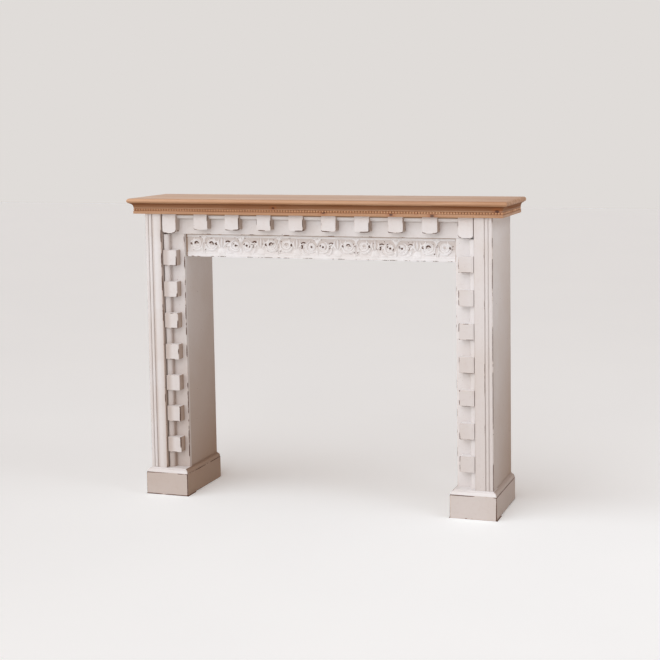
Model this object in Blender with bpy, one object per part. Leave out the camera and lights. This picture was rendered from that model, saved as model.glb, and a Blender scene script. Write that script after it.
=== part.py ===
"""Fireplace mantelpiece: two boxed legs on plinths, dentilled mouldings, a carved frieze and a pine shelf.

Metres, +Z up. The front faces -Y, the back lies flush against the wall at +Y, and the floor is at Z = 0.
"""

import math

import bpy
import bmesh

# Overall sizes
TOTAL_HEIGHT = 1.020
LEGS_WIDTH = 1.214          # outer side to outer side, above the plinths
LEG_WIDTH = 0.129
LEG_DEPTH = 0.250           # face of the reeded strip to the back
BOARD_THICKNESS = 0.018
TOUCH = 0.0003              # clearance between pieces that meet

# Shelf board and the pine cornice under it, from the underside up
SHELF_THICKNESS = 0.016
NOSING_BEYOND_CORNICE = 0.017
NOSING_STEPS = 6
CORNICE_OVER_LEG_SIDE = 0.037
CORNICE_OVER_LEG_FACE = 0.011
CORNICE_FILLET = 0.0095
CORNICE_BEAD = 0.009
CORNICE_COVE = 0.0175
CORNICE_COVE_REACH = 0.009
CORNICE_STEPS = 5

# Reeded strip with its flat fascia, at the outer corner of each leg
STRIP_WIDTH = 0.060
REED_WIDTHS = (0.0115, 0.0095)
REED_GROOVE_WIDTH = 0.0028
REED_GROOVE_DEPTH = 0.004
REED_STEPS = 4

# Dentil moulding: a convex edge strip beside a flat, with blocks across both
FLAT_SET_BACK = 0.034       # flat of the moulding behind the face of the strip
FLAT_THICKNESS = 0.014
MOULDING_GAP = 0.006        # groove between the fascia and the upright moulding
EDGE_WIDTH = 0.017
EDGE_RISE = 0.021
EDGE_SHOULDER = 0.010       # height of the convex strip over the flat at its low side
EDGE_STEPS = 3
TOP_MOULDING_WIDTH = 0.070

# Blocks of the mouldings
BLOCK_RISE = 0.031          # face of a block over the flat
LEG_BLOCK_REACH = 0.047
LEG_BLOCK_WIDTH = 0.052
LEG_BLOCK_PITCH = 0.1075
LEG_BLOCK_DROP = 0.080      # centre of the highest block under the level moulding
LEG_BLOCK_CLEAR = 0.020     # least room between the lowest block and the plinth
TOP_BLOCK_PITCH = 0.1146    # wanted pitch, evened out between the corner blocks
TOP_BLOCK_REACH = 0.053
TOP_BLOCK_WIDTH = 0.051
CORNER_BLOCK_REACH = 0.066
CORNER_BLOCK_WIDTH = 0.050
BLOCK_ROUND = 0.006
CORNER_BLOCK_ROUND = 0.014
ROUND_STEPS = 2

# Frieze panel and its carving
FRIEZE_HEIGHT = 0.078
FRIEZE_TOP_FILLET = 0.009
FRIEZE_BOTTOM_BAND = 0.014
FRIEZE_FIELD_DEPTH = 0.003
MOTIF_PITCH = 0.137
MOTIF_END_MARGIN = 0.008    # least plain field beyond the outermost scroll
CARVING_RISE = 0.0045
CARVING_SINK = 0.001
CARVING_WIDTH = 0.0052
VOLUTE_SPACING = 0.055
VOLUTE_RADIUS = 0.0205
RING_SPACING = 0.045
RING_RADIUS = 0.0185
EYE_RADIUS = 0.0040

# Plinth round the foot of each leg
PLINTH_EDGE_HEIGHT = 0.076
PLINTH_MOULD_HEIGHT = 0.015
PLINTH_PROJECTION = 0.013
PLINTH_STEPS = 4

# Sizes that follow from the ones above
CORNICE_HEIGHT = CORNICE_FILLET + CORNICE_BEAD + CORNICE_COVE
CORNICE_UNDERSIDE = TOTAL_HEIGHT - SHELF_THICKNESS - CORNICE_HEIGHT
SHELF_UNDERSIDE = TOTAL_HEIGHT - SHELF_THICKNESS
TOTAL_DEPTH = LEG_DEPTH + CORNICE_OVER_LEG_FACE + NOSING_BEYOND_CORNICE
BACK_Y = TOTAL_DEPTH / 2
FACE_Y = BACK_Y - LEG_DEPTH
FLAT_Y = FACE_Y + FLAT_SET_BACK
PANEL_Y = FLAT_Y + FLAT_THICKNESS
SIDE_X = LEGS_WIDTH / 2
INNER_X = SIDE_X - LEG_WIDTH
PLINTH_TOP = PLINTH_EDGE_HEIGHT + PLINTH_MOULD_HEIGHT
MOULDING_START = STRIP_WIDTH + MOULDING_GAP
LEG_MOULDING_WIDTH = LEG_WIDTH - MOULDING_START
TOP_MOULDING_BOTTOM = CORNICE_UNDERSIDE - TOP_MOULDING_WIDTH
FRIEZE_BOTTOM = TOP_MOULDING_BOTTOM - FRIEZE_HEIGHT
LEG_BLOCK_TOP_CENTRE = TOP_MOULDING_BOTTOM - LEG_BLOCK_DROP
LEG_BLOCK_SPAN = LEG_BLOCK_TOP_CENTRE - LEG_BLOCK_WIDTH / 2 - LEG_BLOCK_CLEAR - PLINTH_TOP
LEG_BLOCK_COUNT = int(LEG_BLOCK_SPAN / LEG_BLOCK_PITCH) + 1
CORNER_BLOCK_X = SIDE_X - MOULDING_START - CORNER_BLOCK_WIDTH / 2
TOP_BLOCK_COUNT = round(2 * CORNER_BLOCK_X / TOP_BLOCK_PITCH) - 1
VOLUTE_REACH = VOLUTE_SPACING / 2 + VOLUTE_RADIUS + CARVING_WIDTH / 2
MOTIF_PAIRS = int((INNER_X - MOTIF_END_MARGIN - VOLUTE_REACH) / MOTIF_PITCH)


def make_material(name, colour, roughness):
    """A plain Principled material."""
    material = bpy.data.materials.new(name)
    material.use_nodes = True
    shader = material.node_tree.nodes["Principled BSDF"]
    shader.inputs["Base Color"].default_value = (*colour, 1.0)
    shader.inputs["Roughness"].default_value = roughness
    return material


def add_object(name, vertices, faces, material):
    """Make one closed piece from its corners and faces, with every face turned outwards."""
    mesh = bpy.data.meshes.new(name)
    mesh.from_pydata(vertices, [], faces)
    work = bmesh.new()
    work.from_mesh(mesh)
    bmesh.ops.recalc_face_normals(work, faces=work.faces)
    work.to_mesh(mesh)
    work.free()
    mesh.materials.append(material)
    piece = bpy.data.objects.new(name, mesh)
    bpy.context.scene.collection.objects.link(piece)
    return piece


def loft(name, sections, material):
    """Join sections of equal point count into one solid with flat ends."""
    count = len(sections[0])
    vertices = [point for section in sections for point in section]
    faces = [list(range(count))[::-1]]
    for row in range(len(sections) - 1):
        low = row * count
        for i in range(count):
            j = (i + 1) % count
            faces.append([low + i, low + j, low + count + j, low + count + i])
    faces.append([(len(sections) - 1) * count + i for i in range(count)])
    return add_object(name, vertices, faces, material)


def board(name, low, high, material):
    """A plain square-edged board between two corners."""
    sections = []
    for z in (low[2], high[2]):
        sections.append([(low[0], low[1], z), (high[0], low[1], z), (high[0], high[1], z), (low[0], high[1], z)])
    return loft(name, sections, material)


def arc_points(centre, radii, start, end, steps):
    """Points of an elliptical arc, angles in degrees, both ends included."""
    points = []
    for i in range(steps + 1):
        angle = math.radians(start + (end - start) * i / steps)
        points.append((centre[0] + radii[0] * math.cos(angle), centre[1] + radii[1] * math.sin(angle)))
    return points


# Profiles

def nosing_profile():
    """Half-round edge of the shelf, as (reach past the cornice, height over the shelf's underside)."""
    radius = SHELF_THICKNESS / 2
    return arc_points((NOSING_BEYOND_CORNICE - radius, radius), (radius, radius), -90, 90, NOSING_STEPS)


def cornice_profile(back_reach):
    """Fillet, bead bar and cove, as (reach past the fillet, height over the cornice's underside)."""
    bead = CORNICE_BEAD / 2
    bead_top = CORNICE_FILLET + CORNICE_BEAD
    points = [(back_reach, 0.0), (0.0, 0.0), (0.0, CORNICE_FILLET), (-bead, CORNICE_FILLET)]
    points += arc_points((-bead, CORNICE_FILLET + bead), (bead, bead), -60, 60, CORNICE_STEPS - 1)
    points += [(-bead, bead_top)]
    cove_centre = (CORNICE_COVE_REACH, bead_top)
    reach = CORNICE_COVE_REACH + bead / 2
    height = CORNICE_COVE - TOUCH
    points += arc_points(cove_centre, (reach, height), 180, 90, CORNICE_STEPS)
    points += [(back_reach, CORNICE_HEIGHT - TOUCH)]
    return points


def strip_profile():
    """Two reeds and the flat fascia, as (distance from the leg's outer side, depth behind the face)."""
    points = [(0.0, PANEL_Y - FACE_Y - TOUCH)]
    place = 0.0
    for width in REED_WIDTHS:
        radii = (width / 2, REED_GROOVE_DEPTH * 0.6)
        centre = (place + width / 2, REED_GROOVE_DEPTH * 0.6)
        points += arc_points(centre, radii, 180, 360, REED_STEPS)
        points += [(place + width, REED_GROOVE_DEPTH), (place + width + REED_GROOVE_WIDTH, REED_GROOVE_DEPTH)]
        place += width + REED_GROOVE_WIDTH
    points += [(place, 0.0), (STRIP_WIDTH, 0.0), (STRIP_WIDTH, PANEL_Y - FACE_Y - TOUCH)]
    return points


def edge_curve(offset):
    """Convex strip of the dentil moulding, as (distance from its outer edge, rise over the flat)."""
    radii = (EDGE_WIDTH + offset, EDGE_RISE - EDGE_SHOULDER)
    return arc_points((0.0, EDGE_SHOULDER + offset), radii, 90, 0, EDGE_STEPS)


def moulding_profile(width):
    """The whole dentil moulding, as (distance from its outer edge, rise over the flat)."""
    back = -FLAT_THICKNESS + TOUCH
    return [(0.0, back)] + edge_curve(0.0) + [(EDGE_WIDTH, 0.0), (width, 0.0), (width, back)]


def block_profile(reach):
    """A block with the notch that fits over the moulding, as (distance from the outer edge, rise)."""
    notch = [(EDGE_WIDTH + TOUCH, TOUCH)] + edge_curve(TOUCH)[::-1]
    return [(0.0, BLOCK_RISE), (reach, BLOCK_RISE), (reach, TOUCH)] + notch


def block_sections(width, reach, radius):
    """Places along the block with its reach there: the two free corners are rounded."""
    rounds = arc_points((width / 2 - radius, reach - radius), (radius, radius), 0, 90, ROUND_STEPS)
    return [(-x, y) for x, y in rounds] + rounds[::-1]


def plinth_profile():
    """Square plinth with an ovolo and a small fillet at its top, as (inset, height)."""
    inset = PLINTH_PROJECTION * 0.85
    rise = PLINTH_MOULD_HEIGHT * 0.80
    step = PLINTH_PROJECTION * 0.10
    points = [(0.0, 0.0), (0.0, PLINTH_EDGE_HEIGHT), (step, PLINTH_EDGE_HEIGHT)]
    centre = (inset, PLINTH_EDGE_HEIGHT)
    points += arc_points(centre, (inset - step, rise), 180, 90, PLINTH_STEPS)[1:]
    points += [(inset, PLINTH_TOP)]
    return points


# Shelf and cornice

def make_shelf(material):
    """Shelf board with its half-round edge on the front and both ends."""
    half_width = SIDE_X + CORNICE_OVER_LEG_SIDE
    front = FACE_Y - CORNICE_OVER_LEG_FACE
    sections = []
    for reach, height in nosing_profile():
        x = half_width + reach
        y = front - reach
        z = SHELF_UNDERSIDE + height
        sections.append([(-x, y, z), (x, y, z), (x, BACK_Y, z), (-x, BACK_Y, z)])
    return loft("mantel_shelf", sections, material)


def make_cornice(material):
    """Front length and two returns, mitred at the corners."""
    half_width = SIDE_X + CORNICE_OVER_LEG_SIDE
    front = FACE_Y - CORNICE_OVER_LEG_FACE
    profile = cornice_profile(TOUCH - CORNICE_OVER_LEG_SIDE)
    ends = []
    for side in (-1, 1):
        ends.append([(side * (half_width + r), front - r, CORNICE_UNDERSIDE + h) for r, h in profile])
    loft("cornice_front", ends, material)
    mitre_gap = TOUCH * math.sqrt(2)
    for side, name in ((-1, "cornice_return_left"), (1, "cornice_return_right")):
        corner = [(side * (half_width + r), front - r + mitre_gap, CORNICE_UNDERSIDE + h) for r, h in profile]
        wall = [(x, BACK_Y, z) for x, _, z in corner]
        loft(name, [corner, wall], material)


# Legs

def upright(name, side, start, profile, bottom, top, toward_front, material):
    """A leg piece whose profile is carried straight up. Distances run inwards from the leg's outer side."""
    sections = []
    for z in (bottom, top):
        sections.append([(side * (SIDE_X - start - u), toward_front(d), z) for u, d in profile])
    return loft(name, sections, material)


def make_leg(side, label, material):
    """Boards, reeded strip, moulding, blocks and plinth of one leg."""
    board_top = SHELF_UNDERSIDE - TOUCH
    panel_y = PANEL_Y

    def span(near, far):
        """Lowest and highest X between two distances from the leg's outer side."""
        return sorted((side * (SIDE_X - near), side * (SIDE_X - far)))

    outer = span(0.0, BOARD_THICKNESS)
    board(label + "_leg_outer_side", (outer[0], panel_y, 0.0), (outer[1], BACK_Y, board_top), material)
    inner = span(LEG_WIDTH - BOARD_THICKNESS, LEG_WIDTH)
    board(label + "_leg_inner_side", (inner[0], panel_y, 0.0), (inner[1], BACK_Y, board_top), material)
    middle = span(BOARD_THICKNESS + TOUCH, LEG_WIDTH - BOARD_THICKNESS - TOUCH)
    stile_back = panel_y + BOARD_THICKNESS
    board(label + "_leg_stile", (middle[0], panel_y, 0.0), (middle[1], stile_back, board_top), material)

    bottom = PLINTH_TOP + TOUCH
    strip_top = CORNICE_UNDERSIDE - TOUCH
    upright(label + "_reeded_strip", side, 0.0, strip_profile(), bottom, strip_top,
            lambda depth: FACE_Y + depth, material)
    moulding_top = TOP_MOULDING_BOTTOM - TOUCH
    upright(label + "_dentil_moulding", side, MOULDING_START, moulding_profile(LEG_MOULDING_WIDTH),
            bottom, moulding_top, lambda rise: FLAT_Y - rise, material)
    for i in range(LEG_BLOCK_COUNT):
        centre = LEG_BLOCK_TOP_CENTRE - i * LEG_BLOCK_PITCH
        sections = []
        for along, reach in block_sections(LEG_BLOCK_WIDTH, LEG_BLOCK_REACH, BLOCK_ROUND):
            profile = block_profile(reach)
            sections.append([(side * (SIDE_X - MOULDING_START - u), FLAT_Y - rise, centre + along)
                             for u, rise in profile])
        loft(f"{label}_dentil_block_{i + 1}", sections, material)
    make_plinth(side, label, material)


def make_plinth(side, label, material):
    """Front block moulded on three sides and two side boards behind it."""
    near = -PLINTH_PROJECTION
    far = LEG_WIDTH + PLINTH_PROJECTION
    front = FACE_Y - PLINTH_PROJECTION
    profile = plinth_profile()
    sections = []
    for inset, z in profile:
        left = side * (SIDE_X - near - inset)
        right = side * (SIDE_X - far + inset)
        y = front + inset
        back = PANEL_Y - TOUCH
        sections.append([(left, y, z), (right, y, z), (right, back, z), (left, back, z)])
    loft(label + "_plinth_front", sections, material)
    for name, edge, turn in (("outer", SIDE_X + PLINTH_PROJECTION, 1), ("inner", INNER_X - PLINTH_PROJECTION, -1)):
        against = edge - turn * (PLINTH_PROJECTION - TOUCH)
        outline = [(edge - turn * inset, z) for inset, z in profile] + [(against, PLINTH_TOP), (against, 0.0)]
        ends = [[(side * x, y, z) for x, z in outline] for y in (PANEL_Y, BACK_Y)]
        loft(f"{label}_plinth_{name}", ends, material)


# Header

def make_top_moulding(material):
    """Level dentil moulding under the cornice, its blocks and the two longer ones at the corners."""
    half_length = SIDE_X - MOULDING_START
    top = CORNICE_UNDERSIDE - TOUCH
    ends = []
    for x in (-half_length, half_length):
        ends.append([(x, FLAT_Y - rise, top - u) for u, rise in moulding_profile(TOP_MOULDING_WIDTH)])
    loft("top_dentil_moulding", ends, material)

    pitch = 2 * CORNER_BLOCK_X / (TOP_BLOCK_COUNT + 1)
    for i in range(TOP_BLOCK_COUNT + 2):
        is_corner = i in (0, TOP_BLOCK_COUNT + 1)
        width = CORNER_BLOCK_WIDTH if is_corner else TOP_BLOCK_WIDTH
        reach = CORNER_BLOCK_REACH if is_corner else TOP_BLOCK_REACH
        radius = CORNER_BLOCK_ROUND if is_corner else BLOCK_ROUND
        centre = -CORNER_BLOCK_X + i * pitch
        sections = []
        for along, here in block_sections(width, reach, radius):
            sections.append([(centre + along, FLAT_Y - rise, top - u) for u, rise in block_profile(here)])
        loft(f"top_dentil_block_{i + 1:02d}", sections, material)


def spiral(eye, start_radius, end_radius, start, turns, steps, hand):
    """Points of a scroll that winds in towards its eye; hand 1 is anticlockwise seen from the front."""
    points = []
    for i in range(steps + 1):
        share = i / steps
        angle = math.radians(start) + hand * share * turns * 2 * math.pi
        radius = start_radius + (end_radius - start_radius) * share ** 0.8
        points.append((eye[0] + radius * math.cos(angle), eye[1] + radius * math.sin(angle)))
    return points


def ridge(points, width, taper):
    """Raised line along points in the frieze's plane, as corners and faces; taper narrows its ends."""
    base_y = PANEL_Y + FRIEZE_FIELD_DEPTH + CARVING_SINK
    crest_y = PANEL_Y + FRIEZE_FIELD_DEPTH - CARVING_RISE
    corners = []
    last = len(points) - 1
    for i, (x, z) in enumerate(points):
        ahead = points[min(i + 1, last)]
        behind = points[max(i - 1, 0)]
        length = math.hypot(ahead[0] - behind[0], ahead[1] - behind[1])
        across = (-(ahead[1] - behind[1]) / length, (ahead[0] - behind[0]) / length)
        fullness = 1.0 - taper * abs(2 * i / last - 1) ** 2
        half = width / 2 * fullness
        crest = half * 0.35
        rise_y = base_y + (crest_y - base_y) * (0.55 + 0.45 * fullness)
        for reach, y in ((-half, base_y), (-crest, rise_y), (crest, rise_y), (half, base_y)):
            corners.append((x + across[0] * reach, y, z + across[1] * reach))
    faces = [[3, 2, 1, 0], [last * 4 + k for k in range(4)]]
    for row in range(last):
        for k in range(4):
            j = (k + 1) % 4
            faces.append([row * 4 + k, row * 4 + j, row * 4 + 4 + j, row * 4 + 4 + k])
    return corners, faces


def boss(centre, radius):
    """Small domed eye of a scroll."""
    base_y = PANEL_Y + FRIEZE_FIELD_DEPTH + CARVING_SINK
    crest_y = PANEL_Y + FRIEZE_FIELD_DEPTH - CARVING_RISE
    sides = 6
    corners = []
    for share, y in ((1.0, base_y), (0.85, (base_y + crest_y) / 2), (0.35, crest_y)):
        for k in range(sides):
            angle = 2 * math.pi * k / sides
            corners.append((centre[0] + radius * share * math.cos(angle), y,
                            centre[1] + radius * share * math.sin(angle)))
    faces = [list(range(sides)), [2 * sides + k for k in range(sides)]]
    for row in range(2):
        for k in range(sides):
            j = (k + 1) % sides
            faces.append([row * sides + k, row * sides + j, (row + 1) * sides + j, (row + 1) * sides + k])
    return corners, faces


def leaf(root, tip, bulge, steps=5):
    """Points of a curved leaf vein from root to tip; bulge bows it to the left of its run."""
    dx = tip[0] - root[0]
    dz = tip[1] - root[1]
    points = []
    for i in range(steps + 1):
        share = i / steps
        bow = bulge * math.sin(math.pi * share)
        points.append((root[0] + dx * share - dz * bow, root[1] + dz * share + dx * bow))
    return points


def volute_motif(centre, level):
    """Two volutes turned towards each other, with leaves under and over them."""
    shapes = []
    half = VOLUTE_SPACING / 2
    for hand in (-1, 1):
        eye = (centre + hand * half, level + 0.002)
        shapes.append(ridge(spiral(eye, VOLUTE_RADIUS, 0.0085, -90, 1.35, 19, hand), CARVING_WIDTH, 0.35))
        shapes.append(boss(eye, EYE_RADIUS))
        foot = (centre + hand * 0.0045, level - 0.0245)
        shapes.append(ridge(leaf(foot, (centre + hand * 0.003, level + 0.006), hand * -0.12, 4), 0.0042, 0.5))
        shapes.append(ridge(leaf((centre + hand * 0.003, level + 0.012), (centre + hand * 0.010, level + 0.0245),
                                 hand * 0.25, 4), 0.0042, 0.5))
    return shapes


def ring_motif(centre, level):
    """Two ringed scrolls with a leaf between them."""
    shapes = []
    half = RING_SPACING / 2
    for hand in (-1, 1):
        eye = (centre + hand * half, level - 0.002)
        shapes.append(ridge(spiral(eye, RING_RADIUS, 0.0080, 90, 1.35, 19, hand), CARVING_WIDTH, 0.35))
        shapes.append(boss(eye, EYE_RADIUS))
    shapes.append(ridge(leaf((centre, level + 0.008), (centre, level + 0.025), 0.0, 4), 0.0052, 0.6))
    shapes.append(ridge(leaf((centre, level - 0.026), (centre, level - 0.010), 0.0, 4), 0.0052, 0.6))
    return shapes


def leaf_motif(centre, level):
    """Fan of three leaves that fills the space between two motifs."""
    shapes = []
    root = (centre, level - 0.024)
    for lean in (-1, 0, 1):
        start = (root[0] + lean * 0.0055, root[1] + 0.002 * abs(lean))
        tip = (centre + lean * 0.0105, level + 0.022 - 0.004 * abs(lean))
        shapes.append(ridge(leaf(start, tip, lean * -0.14), 0.0046, 0.6))
    return shapes


def make_frieze(material):
    """Panel between the legs: its back carries the mouldings, and its lower face is carved."""
    x_end = INNER_X - TOUCH
    field_y = PANEL_Y + FRIEZE_FIELD_DEPTH
    back_y = PANEL_Y + BOARD_THICKNESS
    field_low = FRIEZE_BOTTOM + FRIEZE_BOTTOM_BAND
    field_high = TOP_MOULDING_BOTTOM - FRIEZE_TOP_FILLET
    outline = [(PANEL_Y, FRIEZE_BOTTOM), (PANEL_Y, field_low), (field_y, field_low + FRIEZE_FIELD_DEPTH),
               (field_y, field_high - FRIEZE_FIELD_DEPTH), (PANEL_Y, field_high),
               (PANEL_Y, SHELF_UNDERSIDE - TOUCH), (back_y, SHELF_UNDERSIDE - TOUCH), (back_y, FRIEZE_BOTTOM)]
    panel = loft("frieze_panel", [[(x, y, z) for y, z in outline] for x in (-x_end, x_end)], material)

    level = (field_low + field_high) / 2
    shapes = []
    for i in range(-MOTIF_PAIRS, MOTIF_PAIRS + 1):
        centre = i * MOTIF_PITCH
        is_ring = i % 2 == 0
        shapes += ring_motif(centre, level) if is_ring else volute_motif(centre, level)
        if i < MOTIF_PAIRS:
            offset = (VOLUTE_SPACING / 2 + VOLUTE_RADIUS - RING_SPACING / 2 - RING_RADIUS) / 2
            shapes += leaf_motif(centre + MOTIF_PITCH / 2 + (-offset if is_ring else offset), level)
    corners = []
    faces = []
    for shape_corners, shape_faces in shapes:
        start = len(corners)
        corners += shape_corners
        faces += [[start + k for k in face] for face in shape_faces]
    carving = add_object("frieze_carving_guide", corners, faces, material)
    carving.hide_render = True
    carving.display_type = "WIRE"
    union = panel.modifiers.new("Carving", "BOOLEAN")
    union.operation = "UNION"
    union.solver = "EXACT"
    union.object = carving


def main():
    for old in list(bpy.data.objects):
        bpy.data.objects.remove(old, do_unlink=True)
    pine = make_material("varnished_pine", (0.60, 0.36, 0.18), 0.45)
    paint = make_material("distressed_white_paint", (0.78, 0.75, 0.72), 0.6)
    make_shelf(pine)
    make_cornice(pine)
    make_top_moulding(paint)
    make_frieze(paint)
    make_leg(-1, "left", paint)
    make_leg(1, "right", paint)


main()
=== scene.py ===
"""Looks of the fireplace mantelpiece: rubbed white paint, carved frieze and waxed pine shelf."""

import math
from collections import namedtuple
from functools import partial

import bmesh
import bpy
import numpy as np
from mathutils import Matrix, Vector


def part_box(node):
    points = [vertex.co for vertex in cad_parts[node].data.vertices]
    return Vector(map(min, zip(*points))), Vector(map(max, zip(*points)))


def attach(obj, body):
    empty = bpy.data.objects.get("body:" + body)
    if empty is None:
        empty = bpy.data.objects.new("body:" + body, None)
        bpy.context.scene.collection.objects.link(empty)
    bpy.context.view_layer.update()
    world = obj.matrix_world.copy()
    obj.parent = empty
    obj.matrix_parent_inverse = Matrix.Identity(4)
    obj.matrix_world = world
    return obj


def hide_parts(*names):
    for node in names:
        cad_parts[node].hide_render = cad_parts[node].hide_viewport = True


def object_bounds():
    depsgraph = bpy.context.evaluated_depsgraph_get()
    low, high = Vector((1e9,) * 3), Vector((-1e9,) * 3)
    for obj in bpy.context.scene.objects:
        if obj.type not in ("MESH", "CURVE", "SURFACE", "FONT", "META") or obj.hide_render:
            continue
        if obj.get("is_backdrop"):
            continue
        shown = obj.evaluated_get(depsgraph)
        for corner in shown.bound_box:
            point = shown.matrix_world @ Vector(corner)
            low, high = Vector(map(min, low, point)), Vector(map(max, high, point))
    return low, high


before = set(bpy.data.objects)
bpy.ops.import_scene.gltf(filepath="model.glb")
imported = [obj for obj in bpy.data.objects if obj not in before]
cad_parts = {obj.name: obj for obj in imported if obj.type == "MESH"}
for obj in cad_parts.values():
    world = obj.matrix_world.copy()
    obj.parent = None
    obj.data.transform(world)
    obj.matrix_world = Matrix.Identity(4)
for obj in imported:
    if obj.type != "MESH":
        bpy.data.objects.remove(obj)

bl_info = {
    "name": "Distressed Fireplace Mantelpiece",
    "version": (1, 0, 0),
    "blender": (4, 5, 0),
    "location": "3D View > Sidebar > Mantelpiece",
    "description": "White distressed fire surround with dentilled mouldings, carved frieze and pine shelf",
    "category": "Object",
}

CAD_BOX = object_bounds()
BODY = "root"
PAINT_SLOT = "distressed_white_paint"
PINE_SLOT = "waxed_pine"
SIDES = ((-1, "left"), (1, "right"))
MM = 0.001

# Profile sizes of the real mouldings, the same as in the solids
TOUCH = 0.3 * MM
FLAT_THICKNESS = 14 * MM
OUTWARD = 2.8 * MM  # the worn mouldings and blocks sit this much nearer to the fascia than their solids
EDGE_WIDTH = 17 * MM
EDGE_RISE = 21 * MM
EDGE_SHOULDER = 10 * MM
REED_WIDTHS = (11.5 * MM, 9.5 * MM)
REED_GROOVE_WIDTH = 2.8 * MM
REED_GROOVE_DEPTH = 4 * MM
STRIP_WIDTH = 60 * MM
CORNICE_FILLET = 9.5 * MM
CORNICE_BEAD = 9 * MM
CORNICE_COVE_REACH = 9 * MM
PLINTH_PROJECTION = 13 * MM
PLINTH_EDGE_HEIGHT = 76 * MM
BOARD_THICKNESS = 18 * MM
FRIEZE_HEIGHT = 78 * MM
FRIEZE_TOP_FILLET = 9 * MM
FRIEZE_BOTTOM_BAND = 14 * MM
FRIEZE_FIELD_DEPTH = 3 * MM

# Layout of the carving
MOTIF_PITCH = 137 * MM
MOTIF_PAIRS = 3
VOLUTE_HALF_SPACING = 27.5 * MM
VOLUTE_LIFT = 3.5 * MM
RING_HALF_SPACING = 20 * MM
RING_LIFT = -1.5 * MM
CURL_HALF_SPACING = 49 * MM
CURL_LIFT = 4 * MM
FILLER_OFFSET = 65 * MM

# The photograph's camera, in metres and radians, and its frame in pixels
PHOTO_SIZE = 660
LENS_PIXELS = 1363.0
LENS_CENTRE = (401.0, 241.0)
CAMERA_PLACE = (1.6235, -4.2537, 1.2952)
CAMERA_YAW = 0.3078
CAMERA_PITCH = -0.0929
CAMERA_ROLL = -0.0114
SENSOR_WIDTH = 36.0


def linear(hex_colour):
    """Turn an sRGB hex colour into linear red, green and blue."""
    values = [int(hex_colour[i:i + 2], 16) / 255 for i in (1, 3, 5)]
    return tuple(v / 12.92 if v <= 0.04045 else ((v + 0.055) / 1.055) ** 2.4 for v in values)


# Sizes and colours that a user would change

class MantelSizes(bpy.types.PropertyGroup):
    arris: bpy.props.FloatProperty(
        name="Rubbed arris", description="Radius of the painted edges", default=1.1 * MM, min=0, unit="LENGTH")
    chip: bpy.props.FloatProperty(
        name="Edge chips", description="Deepest bite out of a painted edge", default=1.8 * MM,
        min=0, unit="LENGTH")
    row_step: bpy.props.FloatProperty(
        name="Row step", description="Mesh spacing along the mouldings", default=5 * MM,
        min=MM, unit="LENGTH")
    carve_step: bpy.props.FloatProperty(
        name="Carving step", description="Mesh spacing on the frieze", default=1.1 * MM,
        min=0.5 * MM, unit="LENGTH")
    carve_rise: bpy.props.FloatProperty(
        name="Carving height", description="Highest part of the carving over its field", default=5.4 * MM,
        min=0, unit="LENGTH")
    bead_pitch: bpy.props.FloatProperty(
        name="Bead pitch", description="Spacing of the cornice beads", default=9.6 * MM, min=MM, unit="LENGTH")
    bead_radius: bpy.props.FloatProperty(
        name="Bead radius", description="Radius of a cornice bead", default=3.6 * MM, min=MM, unit="LENGTH")
    block_wear: bpy.props.FloatProperty(
        name="Block wear", description="How far the worn ends of the blocks wander", default=1.7 * MM,
        min=0, unit="LENGTH")


class MantelColours(bpy.types.PropertyGroup):
    paint: bpy.props.FloatVectorProperty(
        name="Paint", description="White paint", subtype="COLOR", default=linear("#F0F0F1"), min=0, max=1)
    thin_paint: bpy.props.FloatVectorProperty(
        name="Thin paint", description="Paint rubbed thin", subtype="COLOR", default=linear("#CDBBAE"),
        min=0, max=1)
    worn_wood: bpy.props.FloatVectorProperty(
        name="Worn wood", description="Stained wood under the paint", subtype="COLOR", default=linear("#6B4B3A"),
        min=0, max=1)
    bare_fir: bpy.props.FloatVectorProperty(
        name="Bare fir", description="Unpainted backs", subtype="COLOR", default=linear("#CFAA7C"), min=0, max=1)
    pine_light: bpy.props.FloatVectorProperty(
        name="Pine early wood", description="Pale bands of the pine", subtype="COLOR", default=linear("#E3BB96"),
        min=0, max=1)
    pine_dark: bpy.props.FloatVectorProperty(
        name="Pine late wood", description="Dark bands of the pine", subtype="COLOR", default=linear("#BD8D68"),
        min=0, max=1)
    pine_knot: bpy.props.FloatVectorProperty(
        name="Pine knot", description="Knots of the pine", subtype="COLOR", default=linear("#4E2A1B"),
        min=0, max=1)
    floor: bpy.props.FloatVectorProperty(
        name="Floor", description="Studio floor", subtype="COLOR", default=linear("#F2F9FB"), min=0, max=1)


def sizes():
    """The sizes as the user has set them."""
    return bpy.context.scene.mantel_sizes


def colours():
    """The colours as the user has set them."""
    return bpy.context.scene.mantel_colours


# Node and material helpers

SMOOTH = {"interpolation_type": "SMOOTHSTEP"}
COLOUR_MIX = {"output": 2, "data_type": "RGBA"}


def add_node(tree, kind, inputs=(), output=0, **settings):
    """Add one node with its settings, set or link its inputs and return one of its outputs.

    The inputs stand in the node's own order, or in a dictionary by name or number.
    """
    node = tree.nodes.new(kind)
    for name, value in settings.items():
        setattr(node, name, value)
    for name, value in (inputs if isinstance(inputs, dict) else dict(enumerate(inputs))).items():
        socket = node.inputs[name]
        if isinstance(value, bpy.types.NodeSocket):
            tree.links.new(value, socket)
        elif socket.type == "RGBA":
            socket.default_value = (*value[:3], 1.0)
        else:
            socket.default_value = value
    return node.outputs[output] if node.outputs else None


def start_material(name):
    """A new material and what adds its nodes, or None for the latter where the material is there already."""
    known = bpy.data.materials.get(name)
    if known:
        return known, None
    material = bpy.data.materials.new(name)
    material.use_nodes = True
    material.node_tree.nodes.clear()
    return material, partial(add_node, material.node_tree)


def lay_over(add, under, over, pattern, low, high, first=0.0, last=1.0):
    """Lay one colour over another; its share goes from first to last as the pattern goes from low to high."""
    share = add("ShaderNodeMapRange", (pattern, low, high, first, last), **SMOOTH)
    return add("ShaderNodeMix", {0: share, 6: under, 7: over}, **COLOUR_MIX)


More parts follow.
